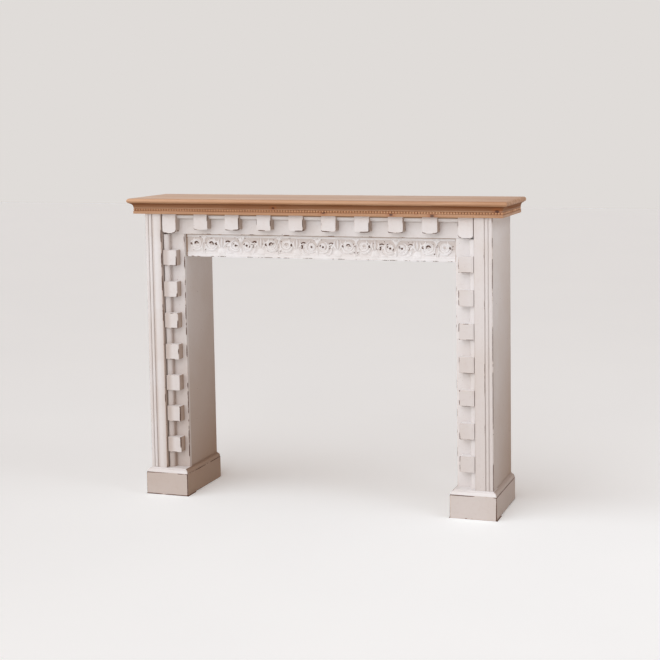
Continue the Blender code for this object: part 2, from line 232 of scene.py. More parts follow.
def finish_material(add, colour, roughness, height, bump_distance, settings=()):
    """Close a material with its bump and its shader."""
    normal = add("ShaderNodeBump", {"Height": height, "Strength": 1.0, "Distance": bump_distance})
    shader = add("ShaderNodeBsdfPrincipled", {
        "Base Color": colour, "Roughness": roughness, "Normal": normal, **dict(settings)})
    add("ShaderNodeOutputMaterial", {"Surface": shader})


def fir_grain(add, place):
    """Pattern and colour of planed fir whose grain runs up and down. Noise scales are in patches per metre."""
    drawn_out = add("ShaderNodeMapping", {"Vector": place, "Scale": (160.0, 160.0, 5.0)})
    grain = add("ShaderNodeTexNoise", {"Vector": drawn_out, "Scale": 1.0, "Detail": 3.0})
    return grain, lay_over(add, colours().bare_fir, linear("#B08A5C"), grain, 0.35, 0.70)


def distressed_paint():
    """White chalky paint brushed over stained softwood and rubbed through on its edges.

    The "wear" attribute is 1 on a rubbed arris, "bare" is 1 on unpainted backs, and the third attribute is 1 where
    dirt and painted shade darken the paint: in corners, on sides turned from the light and toward the foot.
    """
    material, add = start_material("chalky_white_paint")
    if add is None:
        return material
    tint = colours()
    place = add("ShaderNodeTexCoord", output="Object")
    wear, bare, grime_and_shade = [add("ShaderNodeAttribute", output="Fac", attribute_name=name)
                         for name in ("wear", "bare", "grime_and_shade")]

    # Paint: broad patches a hand wide, and faint brush clouds a finger wide
    clouds = add("ShaderNodeTexNoise", {"Vector": place, "Scale": 7.0, "Detail": 3.0})
    streaks = add("ShaderNodeTexNoise", {"Vector": place, "Scale": 90.0, "Detail": 3.0})
    paint = lay_over(add, tint.paint, linear("#E8E4E1"), clouds, 0.42, 0.68, 0.0, 0.55)
    paint = lay_over(add, paint, linear("#DFD9D6"), streaks, 0.50, 0.75, 0.0, 0.25)
    # Painted shade with some dirt: the paint is mixed toward a warm brown where the attribute asks for it
    dirt_and_shade_share = add("ShaderNodeMath", (grime_and_shade, 0.75), operation="MULTIPLY")
    paint = add("ShaderNodeMix", {0: dirt_and_shade_share, 6: paint, 7: linear("#927051")}, **COLOUR_MIX)

    # Rubbing: a ragged border about 1.5 mm wide, with a wider halo of thin paint
    ragged = add("ShaderNodeTexNoise", {"Vector": place, "Scale": 420.0, "Detail": 3.0, "Roughness": 0.6})
    swing = add("ShaderNodeMath", (ragged, 0.5), operation="SUBTRACT")
    swing = add("ShaderNodeMath", (swing, 0.9), operation="MULTIPLY")
    reach = add("ShaderNodeMath", (wear, swing), operation="ADD")
    rubbed = add("ShaderNodeMapRange", (reach, 0.52, 0.66), **SMOOTH)
    # A few pin-head flakes away from the edges
    pinheads = add("ShaderNodeTexNoise", {"Vector": place, "Scale": 210.0, "Detail": 1.0})
    pinheads = add("ShaderNodeMapRange", (pinheads, 0.775, 0.79), **SMOOTH)
    areas = add("ShaderNodeTexNoise", {"Vector": place, "Scale": 11.0, "Detail": 1.0})
    areas = add("ShaderNodeMapRange", (areas, 0.50, 0.62), **SMOOTH)
    flakes = add("ShaderNodeMath", (pinheads, areas), operation="MULTIPLY")
    rubbed = add("ShaderNodeMath", (rubbed, flakes), operation="MAXIMUM")
    stain = add("ShaderNodeTexNoise", {"Vector": place, "Scale": 160.0})
    wood = add("ShaderNodeMix", {0: stain, 6: tint.worn_wood, 7: linear("#3F2A20")}, **COLOUR_MIX)
    colour = lay_over(add, paint, tint.thin_paint, reach, 0.22, 0.60, 0.0, 0.6)
    colour = add("ShaderNodeMix", {0: rubbed, 6: colour, 7: wood}, **COLOUR_MIX)
    colour = add("ShaderNodeMix", {0: bare, 6: colour, 7: fir_grain(add, place)[1]}, **COLOUR_MIX)

    # Relief: brush marks and a tooth to the paint, and the rubbed places lie lower
    height = add("ShaderNodeMath", (streaks, 0.35), operation="MULTIPLY")
    height = add("ShaderNodeMath", (ragged, 0.12, height), operation="MULTIPLY_ADD")
    height = add("ShaderNodeMath", (rubbed, -0.45, height), operation="MULTIPLY_ADD")
    roughness = add("ShaderNodeMapRange", (rubbed, 0.0, 1.0, 0.62, 0.80), **SMOOTH)
    finish_material(add, colour, roughness, height, 0.6 * MM, {"Specular IOR Level": 0.35})
    return material


def bare_fir_board():
    """Planed fir left unpainted, for the boards hidden inside the legs."""
    material, add = start_material("bare_fir_board")
    if add is None:
        return material
    grain, colour = fir_grain(add, add("ShaderNodeTexCoord", output="Object"))
    finish_material(add, colour, 0.75, grain, 0.2 * MM)
    return material


# Knots of the pine that show on the cornice: how far along and how high each is, and its radius in millimetres
CORNICE_KNOTS = ((-0.130, 0.992, 6.0), (0.046, 0.979, 7.0), (0.277, 0.9745, 7.0), (0.362, 0.982, 4.5),
                 (0.414, 0.9725, 8.0), (0.625, 0.989, 8.0))
KNOT_SQUEEZE = 1.6


def waxed_pine(name, along, depth=0.0, knots=(), coat=0.0, reads_stain_and_shade=True):
    """Knotty pine, planed, stained honey and waxed: straight late-wood bands, soft satin, few dark knots.

    along is the axis of the grain, 0 for X and 1 for Y, and depth is how much deeper the stain is than on the
    shelf. The dirt-and-shade attribute is 1 where stain gathered and where shade is painted into the wood, on a
    piece that reads it. coat is the thickness of the clear wax.
    """
    material, add = start_material(name)
    if add is None:
        return material
    tint = colours()
    place = add("ShaderNodeTexCoord", output="Object")
    turn = math.pi / 2 if along == 1 else 0.0
    turned = add("ShaderNodeMapping", {"Vector": place, "Rotation": (0.0, 0.0, turn)})

    # Growth rings about 6 mm apart wander over half a metre, and fine pores are 0.6 mm across
    long_place, rings, pore_place = [add("ShaderNodeMapping", {"Vector": turned, "Scale": scale}) for scale in (
        (1.1, 7.0, 9.0), (0.25, 60.0, 85.0), (22.0, 700.0, 700.0))]
    wander = add("ShaderNodeTexNoise", {"Vector": long_place, "Scale": 1.0, "Detail": 3.0, "Roughness": 0.55})
    across, up = [add("ShaderNodeMath", (wander, share), operation="MULTIPLY") for share in (8.0, 6.0)]
    drift = add("ShaderNodeCombineXYZ", {"Y": across, "Z": up})
    warped = add("ShaderNodeVectorMath", (rings, drift), operation="ADD")
    bands = add("ShaderNodeTexNoise", {"Vector": warped, "Scale": 1.0})
    pores = add("ShaderNodeTexNoise", {"Vector": pore_place, "Scale": 1.0})
    patches = add("ShaderNodeTexNoise", {"Vector": long_place, "Scale": 0.6, "Detail": 1.0})

    colour = lay_over(add, tint.pine_light, tint.pine_dark, bands, 0.38, 0.66)
    colour = lay_over(add, colour, linear("#CB9A70"), patches, 0.35, 0.70, 0.0, 0.5)
    colour = lay_over(add, colour, linear("#9A603A"), pores, 0.52, 0.80, 0.0, 0.5)
    # Painted shade with some stain: the wood is mixed toward a dark brown where the attribute asks for it
    if reads_stain_and_shade:
        stain_and_shade = add("ShaderNodeAttribute", output="Fac", attribute_name="grime_and_shade")
        stain_and_shade_share = add("ShaderNodeMath", (stain_and_shade, 0.75, depth), operation="MULTIPLY_ADD", use_clamp=True)
        colour = add("ShaderNodeMix", {0: stain_and_shade_share, 6: colour, 7: linear("#6A391B")}, **COLOUR_MIX)

    # Each knot is a dark heart in a wider brown halo, a little flattened
    nearest = None
    for x, z, radius in knots:
        squeezed = add("ShaderNodeVectorMath", (place, (1.0, 0.0, KNOT_SQUEEZE)), operation="MULTIPLY")
        away = add("ShaderNodeVectorMath", (squeezed, (x, 0.0, z * KNOT_SQUEEZE)), "Value", operation="DISTANCE")
        share = add("ShaderNodeMath", (away, radius * MM), operation="DIVIDE")
        nearest = share if nearest is None else add("ShaderNodeMath", (nearest, share), operation="MINIMUM")
    if nearest is not None:
        colour = lay_over(add, colour, linear("#9C5E38"), nearest, 0.8, 3.2, 0.55, 0.0)
        colour = lay_over(add, colour, tint.pine_knot, nearest, 0.55, 1.15, 0.92, 0.0)

    height = add("ShaderNodeMath", (bands, 0.3), operation="MULTIPLY")
    height = add("ShaderNodeMath", (pores, 0.4, height), operation="MULTIPLY_ADD")
    roughness, gloss = add("ShaderNodeMapRange", (bands, 0.3, 0.7, 0.42, 0.50), **SMOOTH), 0.5
    if reads_stain_and_shade:
        dulled = add("ShaderNodeMapRange", (stain_and_shade, 0.3, 0.6, 0.0, 0.45), **SMOOTH)
        roughness = add("ShaderNodeMath", (roughness, dulled), operation="ADD")
        gloss = add("ShaderNodeMapRange", (stain_and_shade, 0.3, 0.6, gloss, 0.1), **SMOOTH)
    finish_material(add, colour, roughness, height, 0.25 * MM, {
        "Specular IOR Level": gloss, "Coat Weight": coat, "Coat Roughness": 0.28})
    return material


def floor_paper():
    """Matt pale studio paper on a light table."""
    material, add = start_material("studio_paper")
    if add is None:
        return material
    tone = add("ShaderNodeTexNoise", {"Vector": add("ShaderNodeTexCoord", output="Object"), "Scale": 1.5})
    colour = lay_over(add, colours().floor, linear("#ECF3F6"), tone, 0.3, 0.7, 0.0, 0.3)
    glow = {"Emission Color": (1.0, 1.0, 1.0), "Emission Strength": 0.16}
    finish_material(add, colour, 0.9, tone, 0.1 * MM, glow)
    return material


# Mesh helpers

def smooth_noise(count, step, seed):
    """Smooth random values from 0 to 1 along a line, with a new random knot every so many places."""
    random = np.random.default_rng(seed)
    knots = random.random(int(count / step) + 4)
    at = np.arange(count) / step
    low = at.astype(int)
    share = at - low
    share = share * share * (3 - 2 * share)
    return knots[low] * (1 - share) + knots[low + 1] * share


def new_piece(name, points, faces, attributes, material):
    """A mesh object at the origin, smooth but for its sharp edges, with its attributes."""
    mesh = bpy.data.meshes.new(name)
    mesh.from_pydata([tuple(p) for p in points], [], faces)
    for key, values in attributes.items():
        layer = mesh.attributes.new(key, "FLOAT", "POINT")
        layer.data.foreach_set("value", np.asarray(values, dtype=np.float32).ravel())
    work = bmesh.new()
    work.from_mesh(mesh)
    bmesh.ops.recalc_face_normals(work, faces=work.faces)
    work.to_mesh(mesh)
    work.free()
    mesh.shade_smooth()
    mesh.set_sharp_from_angle(angle=math.radians(50))
    mesh.materials.append(material)
    piece = bpy.data.objects.new(name, mesh)
    bpy.context.scene.collection.objects.link(piece)
    return piece


def hand_over(piece, slot, *nodes):
    """Let a finished piece ride and stand for its CAD nodes."""
    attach(piece, BODY)
    if nodes:
        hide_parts(*nodes)


def grid_faces(rows, columns, closed):
    """Point numbers of rows of points and the faces between them; closed joins each row's end to its start."""
    index = np.arange(rows * columns).reshape(rows, columns)
    near, far = (index, np.roll(index, -1, 1)) if closed else (index[:, :-1], index[:, 1:])
    return index, np.stack([near[:-1], far[:-1], far[1:], near[1:]], -1).reshape(-1, 4).tolist()


def arc(centre, radii, start, end, steps):
    """Points of an elliptical arc, angles in degrees, both ends included."""
    angles = np.radians(np.linspace(start, end, steps + 1))
    return [(centre[0] + radii[0] * math.cos(a), centre[1] + radii[1] * math.sin(a)) for a in angles]


def worn_outline(corners):
    """Round the arrises of a profile.

    Each corner is (a, b, radius, wear). The result has, for each point, its place, the direction into the solid
    along which it chips, its wear and the number of its arris, or -1 where nothing chips.
    """
    rows = []
    guard = 3.4 * MM
    count = len(corners)
    for i, (a, b, radius, wear) in enumerate(corners):
        here = np.array([a, b])
        if radius <= 0:
            rows.append((a, b, 0.0, 0.0, wear, -1, 1.0))
            continue
        before = np.array(corners[i - 1][:2]) - here
        after = np.array(corners[(i + 1) % count][:2]) - here
        reach = (np.linalg.norm(before), np.linalg.norm(after))
        before, after = before / reach[0], after / reach[1]
        inward = before + after
        inward = inward / max(np.linalg.norm(inward), 1e-9)
        wide = [min(guard, 0.42 * r) for r in reach]
        tight = min(radius, 0.3 * min(reach))
        if wide[0] > tight * 1.3:
            rows.append((*(here + before * wide[0]), 0.0, 0.0, 0.0, -1, 0.0))
        rows.append((*(here + before * tight), *inward, wear, i, 0.55))
        rows.append((*(here + (before + after) * tight * 0.293), *inward, wear, i, 1.0))
        rows.append((*(here + after * tight), *inward, wear, i, 0.55))
        if wide[1] > tight * 1.3:
            rows.append((*(here + after * wide[1]), 0.0, 0.0, 0.0, -1, 0.0))
    return np.array(rows)


def chipped_rows(outline, count, seed, chip_depth, patch=6.0):
    """Profile points of every row with chipped arrises, and how worn each one is."""
    a = np.repeat(outline[None, :, 0], count, 0)
    b = np.repeat(outline[None, :, 1], count, 0)
    wear = np.repeat(outline[None, :, 4], count, 0)
    for arris in sorted(set(outline[:, 5].astype(int)) - {-1}):
        broad = smooth_noise(count, patch, seed * 97 + arris * 13 + 1)
        fine = smooth_noise(count, 1.6, seed * 89 + arris * 17 + 5)
        level = 0.72 * broad + 0.28 * fine
        chip = np.clip((level - 0.55) / 0.35, 0, 1)
        picks = np.nonzero(outline[:, 5] == arris)[0]
        strength = outline[picks[0], 4]
        for j in picks:
            depth = chip_depth * (0.10 + 0.9 * chip) * outline[j, 6] * min(1.0, strength * 1.4)
            a[:, j] += outline[j, 2] * depth
            b[:, j] += outline[j, 3] * depth
            wear[:, j] = strength * (0.25 + 1.25 * np.clip((level - 0.30) / 0.5, 0, 1))
    return a, b, wear


def sweep(name, outline, stations, place, seed, material, chip=None, bare=None, grime_and_shade=None, patch=6.0):
    """Carry a worn profile along its stations. place(a, b, s) gives the corners of one row."""
    count = len(stations)
    depth = sizes().chip if chip is None else chip
    a, b, wear = chipped_rows(outline, count, seed, depth, patch)
    width = outline.shape[0]
    points = np.empty((count, width, 3))
    for i, s in enumerate(stations):
        points[i] = np.stack(place(a[i], b[i], s), 1)
    index, faces = grid_faces(count, width, True)
    faces += [index[0][::-1].tolist(), index[-1].tolist()]
    flat = points.reshape(-1, 3)
    zero = np.zeros(len(flat))
    attributes = {
        "wear": wear.ravel(),
        "bare": zero if bare is None else bare(flat),
        "grime_and_shade": zero if grime_and_shade is None else grime_and_shade(flat),
    }
    return new_piece(name, flat, faces, attributes, material)


def toward_foot(points, height=0.85):
    """1 at the floor, going to 0 at this height in metres: painted shade that deepens toward the floor."""
    return np.clip(1 - points[:, 2] / height, 0, 1)


def stations_between(low, high, step):
    """Even places from low to high, about a step apart."""
    return np.linspace(low, high, max(2, int(round((high - low) / step)) + 1))


# Shelf and cornice

def build_shelf():
    """Pine shelf board with a half-round edge on its front and both ends."""
    low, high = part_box("mantel_shelf")
    thick = high.z - low.z
    radius = thick / 2
    corner = 1.5 * MM
    rings = [(radius + 2 * MM, 0.0)]
    rings += [(radius - x, z) for x, z in arc((0, radius), (radius, radius), -90, 90, 14)]
    rings += [(radius + 2 * MM, thick), (radius + 12 * MM, thick)]
    turns = np.linspace(0, math.pi / 2, 5)
    points = []
    for inset, rise in rings:
        x, y = high.x - inset, low.y + inset
        ring = [(-x, high.y)]
        ring += [(-x + corner - corner * math.cos(t), y + corner - corner * math.sin(t)) for t in turns]
        ring += [(x - corner + corner * math.sin(t), y + corner - corner * math.cos(t)) for t in turns]
        ring += [(x, high.y)]
        points += [(px, py, low.z + rise) for px, py in ring]
    index, faces = grid_faces(len(rings), len(ring), True)
    faces += [index[0].tolist(), index[-1].tolist()]
    # Painted reflection and shade: the top is painted darker toward its right end, where it shows less sheen, and
    # the underside of the edge gets painted shade
    x, z = np.array(points)[:, 0], np.array(points)[:, 2]
    painted_sheen_falloff = 0.45 * (x / high.x * 0.5 + 0.5) ** 1.5
    under = 0.72 * np.clip((0.62 - (z - low.z) / thick) / 0.45, 0, 1)
    piece = new_piece("pine_shelf", points, faces, {"grime_and_shade": np.maximum(painted_sheen_falloff, under)},
                      waxed_pine("waxed_pine_board", 0, coat=0.35))
    hand_over(piece, PINE_SLOT, "mantel_shelf")


def cornice_outline(height, back_reach):
    """Fillet, bead channel and cove, as (reach past the fillet, height over the underside)."""
    channel = CORNICE_BEAD / 2
    bead_top = CORNICE_FILLET + CORNICE_BEAD
    cove = height - bead_top
    reach = CORNICE_COVE_REACH + 1.2 * MM
    corners = [(back_reach, 0.0, 0, 0), (0.0, 0.0, 0.8 * MM, 0), (0.0, CORNICE_FILLET, 0.7 * MM, 0)]
    hollow = arc((-0.5 * MM, CORNICE_FILLET + channel), (channel * 0.8, channel * 0.97), -90, -270, 6)
    corners += [(x, z, 0, 0) for x, z in hollow]
    corners += [(-0.6 * MM, bead_top, 0, 0), (-1.2 * MM, bead_top + 0.9 * MM, 0, 0)]
    corners += [(x, z, 0, 0) for x, z in arc((CORNICE_COVE_REACH, bead_top + 0.9 * MM), (reach, cove - 2.2 * MM),
                                             180, 90, 10)[1:]]
    corners += [(CORNICE_COVE_REACH, height, 0, 0), (back_reach, height, 0, 0)]
    return worn_outline(corners)


def build_cornice():
    """Pine cornice: one front length and two returns, mitred at the corners."""
    low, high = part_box("cornice_front")
    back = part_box("cornice_return_left")[1].y
    height = high.z - low.z
    half_width = high.x - CORNICE_COVE_REACH
    front = low.y + CORNICE_COVE_REACH
    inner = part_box("cornice_return_left")[1].x
    outline = cornice_outline(height, -(half_width + inner))
    step = 20 * MM
    channel = low.z + CORNICE_FILLET + CORNICE_BEAD / 2
    cove = low.z + CORNICE_FILLET + CORNICE_BEAD

    # Painted shade with some stain: darker in the cove under the shelf's edge and in the bead channel
    def stain_and_shade(points):
        over = points[:, 2] - cove
        in_cove = np.clip(over / (1.5 * MM), 0, 1) * (0.42 + 0.30 * np.clip(over / (high.z - cove), 0, 1))
        in_channel = np.clip(1 - np.abs(points[:, 2] - channel) / (5.5 * MM), 0, 1) * 0.34
        return np.maximum(in_cove, in_channel)

    def along_front(a, b, s):
        return s * (half_width + a), front - a, low.z + b

    ratio = stations_between(-1.0, 1.0, step / half_width)
    piece = sweep("cornice_front_length", outline, ratio, along_front, 1,
                  waxed_pine("waxed_pine_cornice", 0, 0.33, CORNICE_KNOTS), chip=0.0, grime_and_shade=stain_and_shade)
    hand_over(piece, PINE_SLOT, "cornice_front")
    for side, label in SIDES:
        def along_side(a, b, s, side=side):
            start = front - a + TOUCH
            return np.full(len(a), side) * (half_width + a), start + (back - start) * s, low.z + b

        shares = stations_between(0.0, 1.0, step / (back - front))
        piece = sweep(f"cornice_{label}_return", outline, shares, along_side, 2,
                      waxed_pine("waxed_pine_return", 1, 0.29), chip=0.0, grime_and_shade=stain_and_shade)
        hand_over(piece, PINE_SLOT, f"cornice_return_{label}")


def repeat_tree(name, wandering):
    """Geometry Nodes tree: copies of one object along a line, made real; wandering wears each its own way."""
    tree = bpy.data.node_groups.new(name, "GeometryNodeTree")
    for label, kind in (("Geometry", "Geometry"), ("Copy", "Object"), ("Count", "Int"), ("Start", "Vector"),
                        ("Step", "Vector"), ("Wander", "Float"), ("Seed", "Float"), ("Material", "Material")):
        tree.interface.new_socket(label, in_out="INPUT", socket_type="NodeSocket" + kind)
    tree.interface.new_socket("Geometry", in_out="OUTPUT", socket_type="NodeSocketGeometry")
    add = partial(add_node, tree)
    given = tree.nodes.new("NodeGroupInput").outputs
    line = add("GeometryNodeMeshLine", {
        "Count": given["Count"], "Start Location": given["Start"], "Offset": given["Step"]})
    copy = add("GeometryNodeObjectInfo", {"Object": given["Copy"]}, "Geometry")
    copies = add("GeometryNodeInstanceOnPoints", {"Points": line, "Instance": copy})
    shape = add("GeometryNodeRealizeInstances", {"Geometry": copies})
    if wandering:
        where = add("GeometryNodeInputPosition")
        texture = add("ShaderNodeTexNoise", {"Vector": where, "W": given["Seed"], "Scale": 34.0, "Detail": 2.0},
                      "Color", noise_dimensions="4D")
        centred = add("ShaderNodeVectorMath", (texture, (0.5, 0.5, 0.5)), operation="SUBTRACT")
        loose = add("GeometryNodeInputNamedAttribute", {"Name": "loose"}, "Attribute", data_type="FLOAT")
        amount = add("ShaderNodeMath", (loose, given["Wander"]), operation="MULTIPLY")
        shift = add("ShaderNodeVectorMath", {0: centred, "Scale": amount}, operation="SCALE")
        shape = add("GeometryNodeSetPosition", {"Geometry": shape, "Offset": shift})
    finished = add("GeometryNodeSetMaterial", {"Geometry": shape, "Material": given["Material"]})
    add("NodeGroupOutput", {"Geometry": finished})
    return tree


def repeated(name, tree, copy, count, start, step, wander, seed, material):
    """Run the repeat tree and keep its result as one plain mesh piece at the origin."""
    carrier = bpy.data.objects.new(name + "_carrier", bpy.data.meshes.new(name + "_carrier"))
    bpy.context.scene.collection.objects.link(carrier)
    modifier = carrier.modifiers.new("Repeat", "NODES")
    modifier.node_group = tree
    sockets = {s.name: s.identifier for s in tree.interface.items_tree if s.in_out == "INPUT"}
    values = {"Copy": copy, "Count": count, "Start": start, "Step": step,
              "Wander": wander, "Seed": seed, "Material": material}
    for key, value in values.items():
        modifier[sockets[key]] = value
    bpy.context.view_layer.update()
    graph = bpy.context.evaluated_depsgraph_get()
    mesh = bpy.data.meshes.new_from_object(carrier.evaluated_get(graph), depsgraph=graph)
    mesh.name = name
    bpy.data.objects.remove(carrier, do_unlink=True)
    piece = bpy.data.objects.new(name, mesh)
    bpy.context.scene.collection.objects.link(piece)
    return piece


def bead_shape(radius, facing):
    """One turned bead: a ball with its hidden back cut away, facing along a level direction."""
    segments, rings = 10, 5
    points, faces = [(0.0, -radius, 0.0)], []
    for r in range(1, rings + 1):
        tilt = math.pi / 2 * r / rings * 1.25
        for k in range(segments):
            turn = 2 * math.pi * k / segments
            points.append((radius * math.sin(tilt) * math.cos(turn), -radius * math.cos(tilt),
                           radius * math.sin(tilt) * math.sin(turn)))
    for k in range(segments):
        j = (k + 1) % segments
        faces.append([0, 1 + k, 1 + j])
        for r in range(rings - 1):
            a = 1 + r * segments
            faces.append([a + k, a + segments + k, a + segments + j, a + j])
    faces.append([1 + (rings - 1) * segments + k for k in range(segments)])
    turn = math.atan2(facing[0], -facing[1])
    spin = Matrix.Rotation(turn, 3, "Z")
    points = [tuple(spin @ Vector(p)) for p in points]
    return new_piece("bead_pattern", points, faces, {}, waxed_pine("waxed_pine_beads", 0, reads_stain_and_shade=False))


def build_beads():
    """The bead row in the channel of the cornice, along the front and both returns."""
    tree = repeat_tree("bead_row", False)
    low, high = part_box("cornice_front")
    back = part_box("cornice_return_left")[1].y
    half_width = high.x - CORNICE_COVE_REACH
    front = low.y + CORNICE_COVE_REACH
    radius = sizes().bead_radius
    sunk = radius - 0.2 * MM
    level = low.z + CORNICE_FILLET + CORNICE_BEAD / 2
    count = int(2 * (half_width - sunk) / sizes().bead_pitch)
    pitch = 2 * (half_width - sunk) / count
    pattern = bead_shape(radius, (0, -1))
    piece = repeated("bead_row_front", tree, pattern, count + 1, (-half_width + sunk, front + sunk, level),
                     (pitch, 0, 0), 0.0, 0.0, pattern.data.materials[0])
    hand_over(piece, PINE_SLOT)
    bpy.data.objects.remove(pattern, do_unlink=True)
    for side, label in SIDES:
        run = back - front - sunk - radius
        side_count = int(run / sizes().bead_pitch)
        pattern = bead_shape(radius, (side, 0))
        piece = repeated(f"bead_row_{label}", tree, pattern, side_count,
                         (side * (half_width - sunk), front + sunk + pitch, level),
                         (0, run / side_count, 0), 0.0, 0.0, pattern.data.materials[0])
        hand_over(piece, PINE_SLOT)
        bpy.data.objects.remove(pattern, do_unlink=True)


# Mouldings and blocks

def edge_curve(offset, steps):
    """Convex strip of the dentil moulding, as (distance from its outer edge, rise over the flat)."""
    radii = (EDGE_WIDTH + offset, EDGE_RISE - EDGE_SHOULDER)
    return arc((0.0, EDGE_SHOULDER + offset), radii, 90, 0, steps)


def moulding_outline(width, back, inner_wear):
    """Dentil moulding: convex strip, step and flat. inner_wear is the rubbing of the flat's free arris."""
    curve = edge_curve(0.0, 8)
    corners = [(0.0, back, 0, 0), (*curve[0], 0.4 * MM, 0.1)]
    corners += [(u, d, 0, 0.0) for u, d in curve[1:-1]]
    corners += [(*curve[-1], 0.8 * MM, 0.35), (EDGE_WIDTH, 0.0, 0, 0), (EDGE_WIDTH + 6 * MM, 0.0, 0, 0),
                (width * 0.65, 0.0, 0, 0), (width, 0.0, sizes().arris, inner_wear), (width, back, 0, 0)]
    return worn_outline(corners)


# Painted shade of the left and right upright moulding: at its step, all over it, and more toward its foot
UPRIGHT_SHADE = {-1: (0.40, 0.28, 0.50), 1: (0.10, 0.22, 0.16)}
# How rubbed the free arris of each is
UPRIGHT_WEAR = {-1: 0.82, 1: 0.45}


def build_mouldings():
    """The level dentil moulding and the two upright ones."""
    paint = distressed_paint()
    low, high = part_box("top_dentil_moulding")
    flat_y = high.y + TOUCH - FLAT_THICKNESS
    back = flat_y - high.y
    outline = moulding_outline(high.z - low.z, back, 0.55)

    def level(a, b, s):
        return np.full(len(a), s), flat_y - b, high.z - a

    # Painted shade: darker all over, along the step and in a dark line under the cornice
    def shaded(points):
        at_step = np.clip(1 - np.abs(high.z - EDGE_WIDTH - 1 * MM - points[:, 2]) / (3 * MM), 0, 1) * 0.4
        at_cornice = np.clip((points[:, 2] - high.z + 6.5 * MM) / (1.5 * MM), 0, 1) * 1.1
        return 0.27 + np.maximum(at_step, at_cornice)

    stations = stations_between(low.x - OUTWARD, high.x + OUTWARD, sizes().row_step)
    piece = sweep("top_moulding_run", outline, stations, level, 11, paint, grime_and_shade=shaded, patch=4.0)
    hand_over(piece, PAINT_SLOT, "top_dentil_moulding")
    for side, label in SIDES:
        low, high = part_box(f"{label}_dentil_moulding")
        outer = (low.x if side < 0 else high.x) + side * OUTWARD
        outline = moulding_outline(high.x - low.x + OUTWARD, back, UPRIGHT_WEAR[side])

        def upright(a, b, s, side=side, outer=outer):
            return outer - side * a, flat_y - b, np.full(len(a), s)

        def corner_shade(points, side=side, outer=outer):
            across = np.abs(outer - side * (EDGE_WIDTH + 1 * MM) - points[:, 0])
            shade, base, lower = UPRIGHT_SHADE[side]
            return base + np.clip(1 - across / (3 * MM), 0, 1) * shade + lower * toward_foot(points, 0.8)

        stations = stations_between(low.z, high.z, sizes().row_step)
        piece = sweep(f"{label}_moulding_run", outline, stations, upright, 20 + side, paint,
                      grime_and_shade=corner_shade, patch=3.0)
        hand_over(piece, PAINT_SLOT, f"{label}_dentil_moulding")


# A kind of block: its corner radius, the bow of its free end, the rubbing of its two side arrises, the painted
# shade of its face at its fixed and its free end, and the painted shade of its two sides and its free end
BlockLook = namedtuple("BlockLook", "corner bulge side_wear face_tone side_tone")
TOP_BLOCKS = BlockLook(4.5 * MM, 1.5 * MM, (0.45, 0.85), (0.31, 0.28), (0.3, 0.95, 0.75))
CORNER_BLOCKS = BlockLook(7 * MM, 4 * MM, (0.4, 0.7), (0.30, 0.22), (0.3, 0.8, 0.6))
LEG_BLOCKS = {-1: BlockLook(1.9 * MM, 0.4 * MM, (0.95, 0.35), (0.66, 0.32), (0.85, 0.10, 0.9)),
              1: BlockLook(1.9 * MM, 0.4 * MM, (0.95, 0.35), (0.34, 0.40), (0.85, -0.1, 0.3))}


